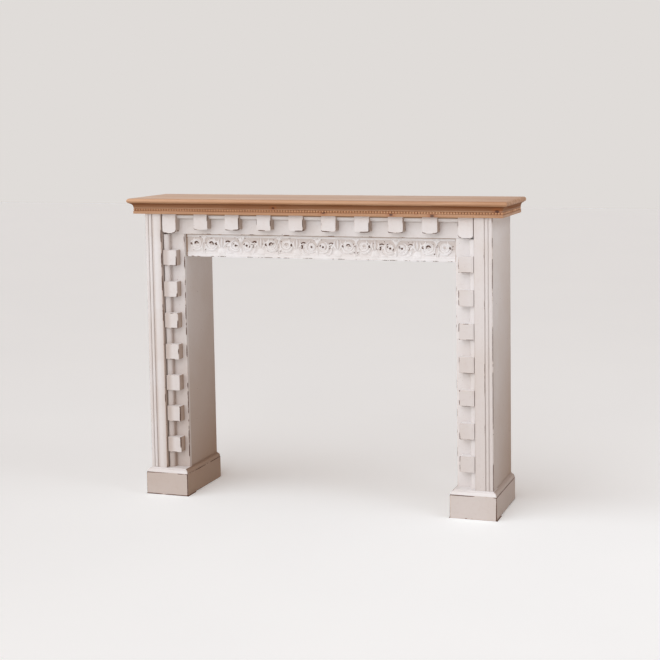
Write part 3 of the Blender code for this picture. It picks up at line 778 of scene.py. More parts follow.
def block_shape(name, reach, width, rise, look, place):
    """One dentil block: notched over the convex strip, its free corners rounded and its face softly worn.

    place(u, v, d) puts distance from the moulding's edge, place along it and rise over the flat into the world.
    """
    corner, bulge, side_wear, face_shade, side_shade = look
    arris = 1.6 * MM
    ends = [arris * t for t in (0.0, 0.12, 0.35, 0.62, 1.0)]
    ends += [arris + (corner - arris) * t for t in (0.25, 0.5, 0.75, 1.0)]
    middle = np.linspace(ends[-1], width - ends[-1], 8)[1:-1]
    stations = ends + middle.tolist() + [width - e for e in ends[::-1]]
    notch = [(EDGE_WIDTH + TOUCH, TOUCH)] + edge_curve(TOUCH, 4)[::-1]
    heart = ((EDGE_WIDTH + reach) / 2, (EDGE_RISE + rise) / 2)
    points, wears, loose, grime_and_shade_values = [], [], [], []
    # The first and last rings lie inside the side faces and keep the rubbing to their rims
    for n, s in enumerate([0.0] + stations + [width]):
        rim = 0 < n < len(stations) + 1
        near = min(s, width - s)
        drop = arris - math.sqrt(max(arris ** 2 - max(arris - near, 0) ** 2, 0))
        pull = corner - math.sqrt(max(corner ** 2 - max(corner - near, 0) ** 2, 0))
        far = reach - pull - bulge * abs(2 * s / width - 1) ** 3
        edge = side_wear[0 if s < width / 2 else 1] if near < arris * 1.05 else 0.0
        shares = np.append(np.linspace(0.0, 0.9, 9), 1 - 2.4 * MM / far)
        row = []
        for t in shares:
            crown = 1.6 * MM * (2 * t - 1.1) ** 2 * (t < 0.55)
            rubbing = edge * (0.6 + 0.7 * math.exp(-((t - 0.5) / 0.22) ** 2))
            row.append(((far - arris) * t, rise - drop - crown, rubbing))
        for t in (0.0, 0.35, 0.7, 1.0):
            angle = math.pi / 2 * t
            row.append((far - arris + arris * math.sin(angle), rise - drop - arris + arris * math.cos(angle), 0.9))
        row += [(far, (rise - drop - arris) * (1 - t), edge * 0.5) for t in (0.1, 0.4, 0.7)]
        row.append((far, TOUCH, 0.0))
        row += [(u, d, 0.0) for u, d in notch]
        row.append((0.0, (EDGE_RISE + rise) / 2, 0.0))
        for u, d, w in row:
            free = min(1.0, 0.18 + 0.82 * max(0.0, (u - reach * 0.55) / (reach * 0.45)))
            held = d <= TOUCH * 2 or (u <= EDGE_WIDTH + 2 * MM and d <= EDGE_RISE + 4 * MM)
            loose.append(0.0 if held else free)
            # Painted shade: the face darker toward its fixed end, and each side and the free end with a shade of
            # its own
            tone = face_shade[0] + (face_shade[1] - face_shade[0]) * np.clip((u / reach - 0.25) / 0.25, 0, 1)
            if near < 0.1 * MM:
                tone = side_shade[0 if s < width / 2 else 1]
            elif d < rise - 3 * MM and u > EDGE_WIDTH:
                tone = side_shade[2] + 0.2 * (d < 3 * MM)
            grime_and_shade_values.append(tone)
            wears.append(w if rim else 0.0)
            if not rim:
                u, d = heart[0] + (u - heart[0]) * 0.92, heart[1] + (d - heart[1]) * 0.92
            points.append(place(u, s - width / 2, d))
    index, faces = grid_faces(len(stations) + 2, len(row), True)
    faces += [index[0].tolist(), index[-1].tolist()]
    attributes = {"wear": wears, "loose": loose, "bare": np.zeros(len(points)), "grime_and_shade": grime_and_shade_values}
    return new_piece(name, points, faces, attributes, distressed_paint())


def wear_blocks(piece, seed):
    """Make the rubbing of each block uneven: some arrises are worn to the wood and some keep their paint."""
    mesh, layers = piece.data, piece.data.attributes
    count = len(mesh.vertices)
    at, wear, tone = np.empty(count * 3), np.empty(count), np.empty(count)
    mesh.vertices.foreach_get("co", at)
    layers["wear"].data.foreach_get("value", wear)
    layers["grime_and_shade"].data.foreach_get("value", tone)
    at = at.reshape(-1, 3)
    random = np.random.default_rng(seed)
    waves = np.zeros(count)
    for _ in range(7):
        direction = random.normal(size=3)
        direction /= np.linalg.norm(direction)
        waves += np.sin(at @ direction * random.uniform(90, 320) + random.uniform(0, 6.28))
    wear *= np.clip(-0.55 + 2.2 * (0.5 + waves / 7 * 1.1), 0, 1.7)
    # Painted shade that deepens toward the foot
    tone += 0.18 * toward_foot(at)
    layers["wear"].data.foreach_set("value", wear.astype(np.float32))
    layers["grime_and_shade"].data.foreach_set("value", tone.astype(np.float32))
    layers.remove(layers["loose"])
    mesh.set_sharp_from_angle(angle=math.radians(50))


def block_row(name, nodes, look, side, seed, tree):
    """A row of like blocks made from the boxes of its CAD nodes; side is 0 for the level row."""
    boxes = [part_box(n) for n in nodes]
    low, high = boxes[0]
    flat_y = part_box("top_dentil_moulding")[1].y + TOUCH - FLAT_THICKNESS
    rise = flat_y - low.y
    centres = [(a + b) / 2 for a, b in boxes]
    if side == 0:
        reach, width = high.z - low.z, high.x - low.x
        spread = OUTWARD if len(nodes) == 2 else 0.0
        start = Vector((centres[0].x - spread, flat_y, high.z))
        step = Vector((centres[1].x - centres[0].x + 2 * spread, 0, 0))

        def place(u, v, d):
            return v, -d, -u
    else:
        reach, width = high.x - low.x + OUTWARD, high.z - low.z
        start = Vector(((low.x if side < 0 else high.x) + side * OUTWARD, flat_y, centres[0].z))
        step = Vector((0, 0, centres[1].z - centres[0].z))

        def place(u, v, d):
            return -side * u, -d, v
    pattern = block_shape(name + "_pattern", reach, width, rise, look, place)
    piece = repeated(name, tree, pattern, len(nodes), start, step, sizes().block_wear, seed, distressed_paint())
    bpy.data.objects.remove(pattern, do_unlink=True)
    wear_blocks(piece, seed)
    hand_over(piece, PAINT_SLOT, *nodes)


def build_blocks():
    """All the dentil blocks: eight along the top, the two long corner ones and seven on each leg."""
    tree = repeat_tree("block_row", True)
    names = sorted(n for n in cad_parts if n.startswith("top_dentil_block_"))
    block_row("top_blocks", names[1:-1], TOP_BLOCKS, 0, 3, tree)
    block_row("corner_blocks", [names[0], names[-1]], CORNER_BLOCKS, 0, 8, tree)
    for side, label in SIDES:
        names = sorted(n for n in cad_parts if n.startswith(f"{label}_dentil_block_"))
        block_row(f"{label}_leg_blocks", names, LEG_BLOCKS[side], side, 20 + side, tree)


# Legs

# Painted shade of the leg's side boards: all over, more toward the foot, and more toward the wall
BOARD_SHADE = {"inner": (0.31, 0.84, 0.14), "outer": (0.17, 0.72, 0.30)}

# Each strip: radius and rubbing of its inner arris, then its painted shade beside and in the groove, along the
# inner edge, all over the front, and more toward the foot
StripLook = namedtuple("StripLook", "arris rubbing by_groove in_groove inner_edge front lower")
STRIP_LOOKS = {-1: StripLook(1.4 * MM, 0.72, 0.42, 0.50, 0.60, 0.22, 0.22),
               1: StripLook(0.5 * MM, 0.30, 0.00, 0.36, 0.10, 0.34, 0.24)}


def build_strips():
    """Outer strips of the legs: two reeds, a groove and the flat fascia."""
    paint = distressed_paint()
    for side, label in SIDES:
        look = STRIP_LOOKS[side]
        low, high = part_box(f"{label}_reeded_strip")
        outer = low.x if side < 0 else high.x
        depth = high.y - low.y
        corners = [(0.0, depth, 0, 0)]
        place = 0.0
        for n, width in enumerate(REED_WIDTHS):
            radii = (width / 2, REED_GROOVE_DEPTH * 0.6)
            curve = arc((place + width / 2, REED_GROOVE_DEPTH * 0.6), radii, 180, 360, 10)
            if n == 0:
                corners += [(0.0, 9 * MM, 0, 0.0), (0.0, 1.6 * MM, 0.9 * MM, 0.85)]
                curve = curve[4:]
            corners += [(u, d, 0, 0.0) for u, d in curve]
            corners += [(place + width, REED_GROOVE_DEPTH, 0, 0),
                        (place + width + REED_GROOVE_WIDTH, REED_GROOVE_DEPTH, 0, 0)]
            place += width + REED_GROOVE_WIDTH
        corners += [(place, 0.0, 0.6 * MM, 0.45), (place + 4 * MM, 0.0, 0, 0), (place + 8 * MM, 0.0, 0, 0),
                    ((place + STRIP_WIDTH) / 2, 0.0, 0, 0),
                    (STRIP_WIDTH, 0.0, look.arris, look.rubbing), (STRIP_WIDTH, depth, 0, 0)]
        outline = worn_outline(corners)

        def upright(a, b, s, side=side, outer=outer, low=low):
            return outer - side * a, low.y + b, np.full(len(a), s)

        def groove_shade(points, low=low, look=look, outer=outer, edge=place):
            across, deep = np.abs(points[:, 0] - outer), points[:, 1] - low.y
            past_groove = across - edge
            slope = look.by_groove * np.clip(1 - past_groove / (8 * MM), 0, 1) * (past_groove > -0.1 * MM)
            groove = look.in_groove * np.clip((deep - 2.6 * MM) / (1.4 * MM), 0, 1) * (deep < 5 * MM)
            inner_edge = look.inner_edge * np.clip((across - STRIP_WIDTH + 4 * MM) / (2 * MM), 0, 1)
            lower = toward_foot(points)
            front = slope + inner_edge + look.front + look.lower * lower
            on_side = (across < 0.2 * MM) & (deep > 4 * MM)
            return np.where(on_side, BOARD_SHADE["outer"][0] + BOARD_SHADE["outer"][1] * lower,
                            np.maximum(groove, front))

        stations = stations_between(low.z, high.z, sizes().row_step)
        piece = sweep(f"{label}_strip_run", outline, stations, upright, 40 + side, paint,
                      chip=2.2 * MM, grime_and_shade=groove_shade, patch=8.0)
        hand_over(piece, PAINT_SLOT, f"{label}_reeded_strip")


def build_leg_boards():
    """Side boards of the legs, painted outside and bare on the inside and the back."""
    paint = distressed_paint()
    for side, label in SIDES:
        for kind in ("outer", "inner"):
            node = f"{label}_leg_{kind}_side"
            low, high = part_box(node)
            shown = -1 if (kind == "outer") == (side < 0) else 1
            corners = [(low.x, low.y, 0.3 * MM, 0), (high.x, low.y, 0.3 * MM, 0),
                       (high.x, high.y, 0.9 * MM, 0.5 if shown > 0 else 0.0),
                       (low.x, high.y, 0.9 * MM, 0.5 if shown < 0 else 0.0)]
            outline = worn_outline(corners)

            def upright(a, b, s):
                return a, b, np.full(len(a), s)

            def unpainted(points, low=low, high=high, shown=shown):
                face = high.x if shown > 0 else low.x
                return (np.abs(points[:, 0] - face) > 3 * MM).astype(float)

            # Painted shade: darker all over, toward the foot and toward the wall
            def board_shade(points, low=low, high=high, tone=BOARD_SHADE[kind]):
                backward = np.clip((points[:, 1] - low.y) / (high.y - low.y), 0, 1) ** 1.5
                return tone[0] + tone[1] * toward_foot(points) + tone[2] * backward

            stations = stations_between(low.z, high.z, 2 * sizes().row_step)
            piece = sweep(f"{label}_{kind}_board", outline, stations, upright, 60 + side + (kind == "outer"),
                          paint, chip=0.8 * MM, bare=unpainted, grime_and_shade=board_shade)
            hand_over(piece, PAINT_SLOT, node)


def dress_stiles():
    """The leg stiles keep their CAD shape and get bare fir."""
    for _, label in SIDES:
        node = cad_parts[f"{label}_leg_stile"]
        node.data.materials.clear()
        node.data.materials.append(bare_fir_board())


def plinth_outline(height):
    """Square plinth with an ovolo and a small fillet at its top, as (inset, height)."""
    inset = PLINTH_PROJECTION * 0.85
    mould = height - PLINTH_EDGE_HEIGHT
    step = PLINTH_PROJECTION * 0.10
    curve = arc((inset, PLINTH_EDGE_HEIGHT + 0.6 * MM), (inset - step, mould * 0.76), 180, 90, 8)
    corners = [(0.0, 0.0, 1.2 * MM, 0.8), (0.0, height * 0.4, 0, 0), (0.0, PLINTH_EDGE_HEIGHT, 1.2 * MM, 1.25)]
    corners += [(step, PLINTH_EDGE_HEIGHT, 0, 0)]
    corners += [(a, b, 0, 0.0) for a, b in curve]
    corners += [(inset, height - 0.3 * MM, 0, 0), (inset + 0.6 * MM, height, 0, 0)]
    return corners


# Painted shade of each plinth's front and of the left and right ends of that front
PLINTH_SHADE = {-1: {"front": 0.76, "left": 0.80, "right": 1.15}, 1: {"front": 0.62, "left": 1.15, "right": 0.80}}
# Rubbing of its two upright corners, the least and how much more: hard on the right-hand one, light on the left
CORNER_RUBBING = {("front", 0.0): (0.40, 0.50), ("front", 1.0): (0.85, 0.75)}


def build_plinths():
    """Plinth of each leg: a front moulded on three sides and two side boards."""
    paint = distressed_paint()
    for side, label in SIDES:
        low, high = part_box(f"{label}_plinth_front")
        height = high.z - low.z
        profile = plinth_outline(height)
        rings = worn_outline([(-9 * MM - PLINTH_PROJECTION, 0.0, 0, 0)] + profile + [(0.05, height, 0, 0)])[1:-1]
        paths = []
        # Rows stand this close beside each upright corner, so that its rubbing stays narrow
        close = 4.5 * MM
        side_steps = np.append(stations_between(high.y, low.y + close, 6 * MM), low.y + 0.02 * MM)[:-1]
        share = close / (high.x - low.x)
        front_steps = np.concatenate([[0.0], stations_between(share, 1 - share, 6 * MM / (high.x - low.x)), [1.0]])
        for y in side_steps:
            paths.append(("left", (y - low.y) / (high.y - low.y)))
        for t in front_steps:
            paths.append(("front", t))
        for y in side_steps[::-1]:
            paths.append(("right", (y - low.y) / (high.y - low.y)))
        a, b, wear = chipped_rows(rings, len(paths), 70 + side, sizes().chip, 6.0)
        upright_wear = smooth_noise(rings.shape[0], 1.5, 75 + side)
        points, wears, grime_and_shade_values = [], [], []
        for i, (run, t) in enumerate(paths):
            inset, z = a[i], b[i]
            left, right = low.x + inset, high.x - inset
            front = low.y + inset
            if run == "front":
                x, y = left + (right - left) * t, front
            else:
                x = left if run == "left" else right
                y = front + (high.y - front) * t
            row = np.stack([x + 0 * z, y + 0 * z, z], 1)
            points.append(row)
            low_wear, more_wear = CORNER_RUBBING.get((run, t), (0, 0))
            vertical = (low_wear + more_wear * upright_wear) * (z < PLINTH_EDGE_HEIGHT)
            wears.append(np.maximum(wear[i], vertical))
            # The moulded edge of the front gets less painted shade than its flat, and the top ledge less still
            on_edge = (run == "front") & (z > PLINTH_EDGE_HEIGHT + 0.2 * MM)
            tone = np.where(on_edge, 0.22, PLINTH_SHADE[side][run])
            grime_and_shade_values.append(np.where(z > height - 0.2 * MM, 0.12, tone))
        points = np.array(points)
        count, width = points.shape[:2]
        index, quads = grid_faces(count, width, False)
        caps = [index[:, 0].tolist(), index[:, -1].tolist()[::-1]]
        back = index[0].tolist() + index[-1][::-1].tolist()
        flat = points.reshape(-1, 3)
        zero = np.zeros(len(flat))
        attributes = {"wear": np.array(wears), "bare": zero, "grime_and_shade": np.array(grime_and_shade_values)}
        piece = new_piece(f"{label}_plinth_face", flat, quads + caps + [back], attributes, paint)
        hand_over(piece, PAINT_SLOT, f"{label}_plinth_front")
        for kind in ("outer", "inner"):
            node = f"{label}_plinth_{kind}"
            low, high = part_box(node)
            turn = side if kind == "outer" else -side
            edge = high.x if turn > 0 else low.x
            thick = high.x - low.x
            corners = profile + [(thick, height, 0, 0), (thick, 0.0, 0, 0)]
            outline = worn_outline(corners)

            def along(a, b, s, edge=edge, turn=turn):
                return edge - turn * a, np.full(len(a), s), b

            # Painted shade of the plinth's side boards, deeper on the inner one
            def plinth_side_shade(points, tone=1.15 if kind == "inner" else 0.80):
                return np.full(len(points), tone)

            piece = sweep(f"{label}_plinth_{kind}_board", outline, stations_between(low.y, high.y, 6 * MM),
                          along, 80 + side + 3 * (kind == "outer"), paint, grime_and_shade=plinth_side_shade)
            hand_over(piece, PAINT_SLOT, node)


# Frieze

def scroll_height(dx, dz, hand, outer, eye, turns, start):
    """Rise from 0 to 1 of a carved scroll: a rounded band that winds in to a sunk eye."""
    radius = np.hypot(dx, dz)
    angle = np.arctan2(dz, dx * hand)
    ratio = math.log(outer / eye)
    phase = np.log(np.maximum(radius, 1e-6) / outer) / ratio * turns + (angle - start) / (2 * math.pi)
    turn_share = phase - np.floor(phase)
    band = np.sin(math.pi * turn_share) ** 0.7
    tilt = 0.55 + 0.45 * turn_share
    inside = np.clip((outer * 1.02 - radius) / (1.6 * MM), 0, 1)
    core = np.clip((radius - eye * 0.75) / (1.2 * MM), 0, 1)
    return band * tilt * inside * core


def stroke_height(x, z, points, width, taper=1.0):
    """Rise from 0 to 1 of a carved leaf along a curve, widest in its middle."""
    best = np.zeros(x.shape)
    last = len(points) - 1
    for i in range(last):
        (ax, az), (bx, bz) = points[i], points[i + 1]
        length = max((bx - ax) ** 2 + (bz - az) ** 2, 1e-12)
        t = np.clip(((x - ax) * (bx - ax) + (z - az) * (bz - az)) / length, 0, 1)
        away = np.hypot(x - ax - t * (bx - ax), z - az - t * (bz - az))
        share = (i + t) / last
        half = width * (1 - taper * np.abs(2 * share - 1) ** 2.2) + 0.3 * MM
        best = np.maximum(best, np.clip(1 - (away / half) ** 2, 0, 1) ** 0.6)
    return best


def bow(root, tip, bulge, steps=9):
    """Points of a curve from root to tip that bows to its left."""
    dx, dz = tip[0] - root[0], tip[1] - root[1]
    points = []
    for i in range(steps + 1):
        t = i / steps
        out = bulge * math.sin(math.pi * t)
        points.append((root[0] + dx * t - dz * out, root[1] + dz * t + dx * out))
    return points


def around(centre, radius, start, end, hand=1):
    """Points of a round stroke, angles in degrees, mirrored for hand -1."""
    return [(centre[0] + hand * radius * math.cos(a), centre[1] + radius * math.sin(a))
            for a in np.radians(np.linspace(start, end, 14))]


def carve(rise, x, z, strokes):
    """Add strokes to a relief, each with its strength, points, width and taper."""
    for strength, *stroke in strokes:
        rise = np.maximum(rise, strength * stroke_height(x, z, *stroke))
    return rise


def volute_relief(x, z):
    """Two volutes over a pointed stem, each in a wide leaf that sweeps round below it."""
    rise = np.zeros(x.shape)
    for hand in (-1, 1):
        eye = (hand * VOLUTE_HALF_SPACING, VOLUTE_LIFT)
        rise = np.maximum(rise, scroll_height(x - eye[0], z - eye[1], hand, 16.5 * MM, 4.4 * MM, 1.25, 0.9))
        rise = carve(rise, x, z, (
            (0.85, around(eye, 21.5 * MM, -172, 22, hand), 4.0 * MM, 0.8),
            (0.80, bow((hand * 2.0 * MM, -27 * MM), (hand * 3.5 * MM, 10 * MM), hand * -0.12), 2.8 * MM, 0.7),
            (0.70, bow((hand * 1.5 * MM, 8 * MM), (hand * 13 * MM, 27 * MM), hand * 0.30), 3.2 * MM, 0.9),
            (0.60, bow((hand * 36 * MM, 24 * MM), (hand * 52 * MM, 10 * MM), hand * -0.25), 3.0 * MM, 0.9)))
    return rise


def ring_relief(x, z):
    """Two ringed scrolls with a bud between them and a smaller curl on each side."""
    rise = np.zeros(x.shape)
    for hand in (-1, 1):
        eye, curl = (hand * RING_HALF_SPACING, RING_LIFT), (hand * CURL_HALF_SPACING, CURL_LIFT)
        rise = np.maximum(rise, scroll_height(x - eye[0], z - eye[1], -hand, 13.5 * MM, 3.2 * MM, 1.2, 2.4))
        rise = np.maximum(rise, scroll_height(x - curl[0], z - curl[1], hand, 9.5 * MM, 3.0 * MM, 1.0, 0.4))
        rise = carve(rise, x, z, (
            (0.85, around(eye, 18.5 * MM, -130, 75, hand), 3.6 * MM, 0.8),
            (0.75, bow((hand * 30 * MM, -27 * MM), (hand * 52 * MM, -7 * MM), hand * -0.25), 3.6 * MM, 0.8),
            (0.65, bow((hand * 4 * MM, 12 * MM), (hand * 18 * MM, 27 * MM), hand * 0.22), 3.2 * MM, 0.9)))
    return carve(rise, x, z, ((0.80, bow((0, 4 * MM), (0, 27 * MM), 0.0), 3.4 * MM, 0.8),
                              (0.75, bow((0, -28 * MM), (0, -9 * MM), 0.0), 4.2 * MM, 0.9)))


def leaf_relief(x, z):
    """A smooth lobe and three leaves that fill the space between a volute and a curl."""
    lobe = np.clip(1 - (x / (14 * MM)) ** 2 - ((z + 25 * MM) / (16 * MM)) ** 2, 0, 1) ** 0.5
    leaves = []
    for lean in (-1, 0, 1):
        root, tip = (lean * 3.5 * MM, -9 * MM), (lean * 9.5 * MM, 25 * MM - 5 * MM * abs(lean))
        leaves.append((0.80 - 0.12 * abs(lean), bow(root, tip, lean * -0.18), 3.2 * MM, 0.85))
    return carve(0.62 * lobe, x, z, leaves)


def mark(x, z, centre, radius, start, end, width):
    """How near a place is to a short round stroke of worn wood and painted shade."""
    dx, dz = x - centre[0], z - centre[1]
    away = np.hypot(dx, dz) - radius
    middle, half = math.radians((start + end) / 2), math.radians((end - start) / 2)
    turned = np.abs((np.arctan2(dz, dx) - middle + math.pi) % (2 * math.pi) - math.pi)
    along = np.clip((half - turned) * max(radius, 1 * MM) / (1.0 * MM) + 0.6, 0, 1)
    return np.exp(-(away / width) ** 2) * along


# How dark the left and right eye of each volute is, in worn wood and painted shade, counted from the middle of the
# frieze
EYE_MARKS = {-3: (1.0, 1.0), -1: (0.85, 0.3), 1: (0.6, 0.25), 3: (1.0, 0.2)}


def carving_marks(x, z, is_ring, random, eyes):
    """Dark marks of one motif, worn wood with painted shade in its hollows: round its eyes, beside its scrolls and
    here and there.
    """
    total = np.zeros(x.shape)

    def add(strength, *stroke):
        np.maximum(total, strength * mark(x, z, *stroke), out=total)

    for hand in (-1, 1):
        if is_ring:
            eye, curl = (hand * RING_HALF_SPACING, RING_LIFT), (hand * CURL_HALF_SPACING, CURL_LIFT)
            add(random.uniform(1.2, 1.9), eye, 1.4 * MM, 0, 360, 1.9 * MM)
            add(random.uniform(0.3, 1.8), eye, 10 * MM, 130, 170, 1.8 * MM)
            add(random.uniform(0.3, 1.7), eye, 11 * MM, -40, 0, 1.8 * MM)
            add(random.uniform(0.8, 2.3), curl, 8.6 * MM, 40, 150, 2.1 * MM)
            add(random.uniform(0.4, 2.3), (curl[0] - 8 * MM, curl[1] - 6 * MM), 4.8 * MM, -90, 80, 2.0 * MM)
        else:
            eye = (hand * VOLUTE_HALF_SPACING, VOLUTE_LIFT)
            add(random.uniform(1.6, 2.3) * eyes[hand > 0], eye, 6.0 * MM, random.uniform(-30, 10),
                random.uniform(165, 215), 2.1 * MM)
            add(random.uniform(0.7, 2.2), (eye[0] + hand * 19 * MM, eye[1]), 2.4 * MM, 100, 330, 2.0 * MM)
            add(random.uniform(0.4, 1.7), (hand * 6 * MM, -19 * MM), 2.2 * MM, 60, 200, 1.5 * MM)
            add(random.uniform(0.3, 1.5), (hand * 40 * MM, -20 * MM), 2.0 * MM, 0, 150, 1.5 * MM)
    for _ in range(12):
        place = (random.uniform(-66, 66) * MM, random.uniform(-4, 27) * MM)
        start = random.uniform(-180, 180)
        add(random.uniform(0.2, 1.3), place, 2.4 * MM, start, start + 100, 1.3 * MM)
    return total


def build_frieze():
    """Carved frieze panel: a fine relief on the front of its board."""
    low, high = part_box("frieze_panel")
    bottom = low.z
    top = bottom + FRIEZE_HEIGHT
    back = high.y
    plane = back - BOARD_THICKNESS
    step = sizes().carve_step
    xs = stations_between(low.x, high.x, step)
    zs = np.concatenate([[bottom, bottom + 0.5 * MM], stations_between(bottom + 1.2 * MM, top, step)])
    grid_x, grid_z = np.meshgrid(xs, zs)
    field_low = bottom + FRIEZE_BOTTOM_BAND
    field_high = top - FRIEZE_TOP_FILLET
    level = (field_low + field_high) / 2
    relief = np.zeros(grid_x.shape)
    spots = np.zeros(grid_x.shape)
    random = np.random.default_rng(5)
    for i in range(-MOTIF_PAIRS, MOTIF_PAIRS + 1):
        centre = i * MOTIF_PITCH
        near = np.abs(xs - centre) < 68 * MM
        x, z = grid_x[:, near] - centre, grid_z[:, near] - level
        is_ring = i % 2 == 0
        relief[:, near] = np.maximum(relief[:, near], ring_relief(x, z) if is_ring else volute_relief(x, z))
        marks = carving_marks(x, z, is_ring, random, EYE_MARKS.get(i, (1.0, 1.0)))
        spots[:, near] = np.maximum(spots[:, near], marks)
        for hand in (-1, 1):
            middle = centre + hand * (MOTIF_PITCH - FILLER_OFFSET if is_ring else FILLER_OFFSET)
            if is_ring or abs(middle) > MOTIF_PAIRS * MOTIF_PITCH:
                continue
            near = np.abs(xs - middle) < 20 * MM
            leaves = leaf_relief(grid_x[:, near] - middle, grid_z[:, near] - level)
            relief[:, near] = np.maximum(relief[:, near], leaves)
    inside = np.clip((grid_z - field_low) / (3 * MM), 0, 1) * np.clip((field_high - grid_z) / (3 * MM), 0, 1)
    carved = relief * sizes().carve_rise * np.clip((grid_z - bottom - 4 * MM) / (8 * MM), 0, 1)
    carved *= np.clip((top - 2 * MM - grid_z) / (5 * MM), 0, 1)
    from_end = np.minimum(grid_x - low.x, high.x - grid_x)
    ends = np.clip(from_end / (2.5 * MM), 0, 1)
    line_low = np.exp(-((grid_z - (bottom + 11 * MM)) / (0.9 * MM)) ** 2)
    line_high = np.exp(-((grid_z - (top - 6.5 * MM)) / (0.9 * MM)) ** 2)
    surface = (FRIEZE_FIELD_DEPTH * inside - carved + 0.9 * MM * (line_low + line_high)) * ends
    for _ in range(2):
        wide = np.pad(surface, 1, mode="edge")
        surface = (wide[:-2, 1:-1] + wide[2:, 1:-1] + wide[1:-1, :-2] + wide[1:-1, 2:] + 4 * wide[1:-1, 1:-1]) / 8
    surface += smooth_noise(len(xs), 14.0, 77)[None, :] * 0.5 * MM * ends
    surface += 0.5 * MM * np.clip(spots, 0, 1) * ends
    chips = smooth_noise(len(xs), 11.0, 31) * 0.7 + smooth_noise(len(xs), 3.0, 32) * 0.3
    chips = np.clip((chips - 0.50) / 0.28, 0, 1)[None, :]
    edge = np.exp(-((grid_z - bottom) / (2.2 * MM)) ** 2)
    surface += edge * (0.5 * MM + 1.6 * MM * chips)
    lifted = grid_z + (grid_z == bottom) * (0.3 * MM + 1.4 * MM * chips)
    wear = np.maximum(spots, edge * (0.20 + 1.5 * chips))
    wear = np.maximum(wear, np.clip((relief - 0.90) / 0.10, 0, 1) * 0.18)
    # Painted shade: darker in the ground round the carving and toward its top, in lines along its fillets, under
    # the moulding and at both ends
    height = np.clip((grid_z - field_low) / (32 * MM), 0.30, 1)
    ground = np.clip(1 - relief * 3, 0, 1) * inside
    grime_and_shade = 0.05 + height * (0.03 + 0.44 * ground + 0.32 * (line_low + line_high))
    grime_and_shade = np.maximum(grime_and_shade, np.clip((grid_z - top + 4.5 * MM) / (2 * MM), 0, 1) * 1.25)
    grime_and_shade = np.maximum(grime_and_shade, np.clip((5.5 * MM - from_end) / (2 * MM), 0, 1) * 1.15)

    rows, columns = grid_x.shape
    front = np.stack([grid_x, plane + surface, lifted], -1).reshape(-1, 3)
    index, faces = grid_faces(rows, columns, False)
    count = len(front)
    above = np.stack([xs, np.full(columns, plane), np.full(columns, high.z)], 1)
    behind_top = np.stack([xs, np.full(columns, back), np.full(columns, high.z)], 1)
    behind_low = np.stack([xs, np.full(columns, back), np.full(columns, bottom)], 1)
    loops = [index[-1]] + [count + k * columns + np.arange(columns) for k in range(3)] + [index[0]]
    for near, far in zip(loops[:-1], loops[1:]):
        faces += np.stack([near[:-1], near[1:], far[1:], far[:-1]], -1).tolist()
    for column in (0, -1):
        faces.append(index[:, column].tolist() + [int(loop[column]) for loop in loops[1:4]])
    points = np.concatenate([front, above, behind_top, behind_low])
    spare = 3 * columns
    bare = np.concatenate([np.zeros(count), np.zeros(columns), np.ones(2 * columns)])
    piece = new_piece("carved_frieze", points, faces, {
        "wear": np.concatenate([wear.ravel(), np.zeros(spare)]),
        "bare": bare,
        "grime_and_shade": np.concatenate([grime_and_shade.ravel(), np.zeros(spare)]),
    }, distressed_paint())
    hand_over(piece, PAINT_SLOT, "frieze_panel")


# Stage

def camera_matrix():
    """World matrix of the photograph's camera from its yaw, pitch, roll and place."""
    turn = Matrix.Rotation(CAMERA_YAW, 3, "Z")
    right = turn @ Vector((1, 0, 0))
    up = turn @ Vector((0, -math.sin(CAMERA_PITCH), math.cos(CAMERA_PITCH)))
    ahead = turn @ Vector((0, math.cos(CAMERA_PITCH), math.sin(CAMERA_PITCH)))
    rolled_right = right * math.cos(CAMERA_ROLL) + up * math.sin(CAMERA_ROLL)
    rolled_up = -right * math.sin(CAMERA_ROLL) + up * math.cos(CAMERA_ROLL)
    matrix = Matrix((rolled_right, rolled_up, -ahead)).transposed().to_4x4()
    matrix.translation = Vector(CAMERA_PLACE)
    return matrix


def add_area_light(name, place, target, size, power, colour):
    """A soft square light that looks at a point."""
    data = bpy.data.lights.new(name, "AREA")
    data.size = size
    data.energy = power
    data.color = linear(colour)
    light = bpy.data.objects.new(name, data)
    bpy.context.scene.collection.objects.link(light)
    light.location = place
    light.rotation_euler = (Vector(target) - Vector(place)).to_track_quat("-Z", "Y").to_euler()


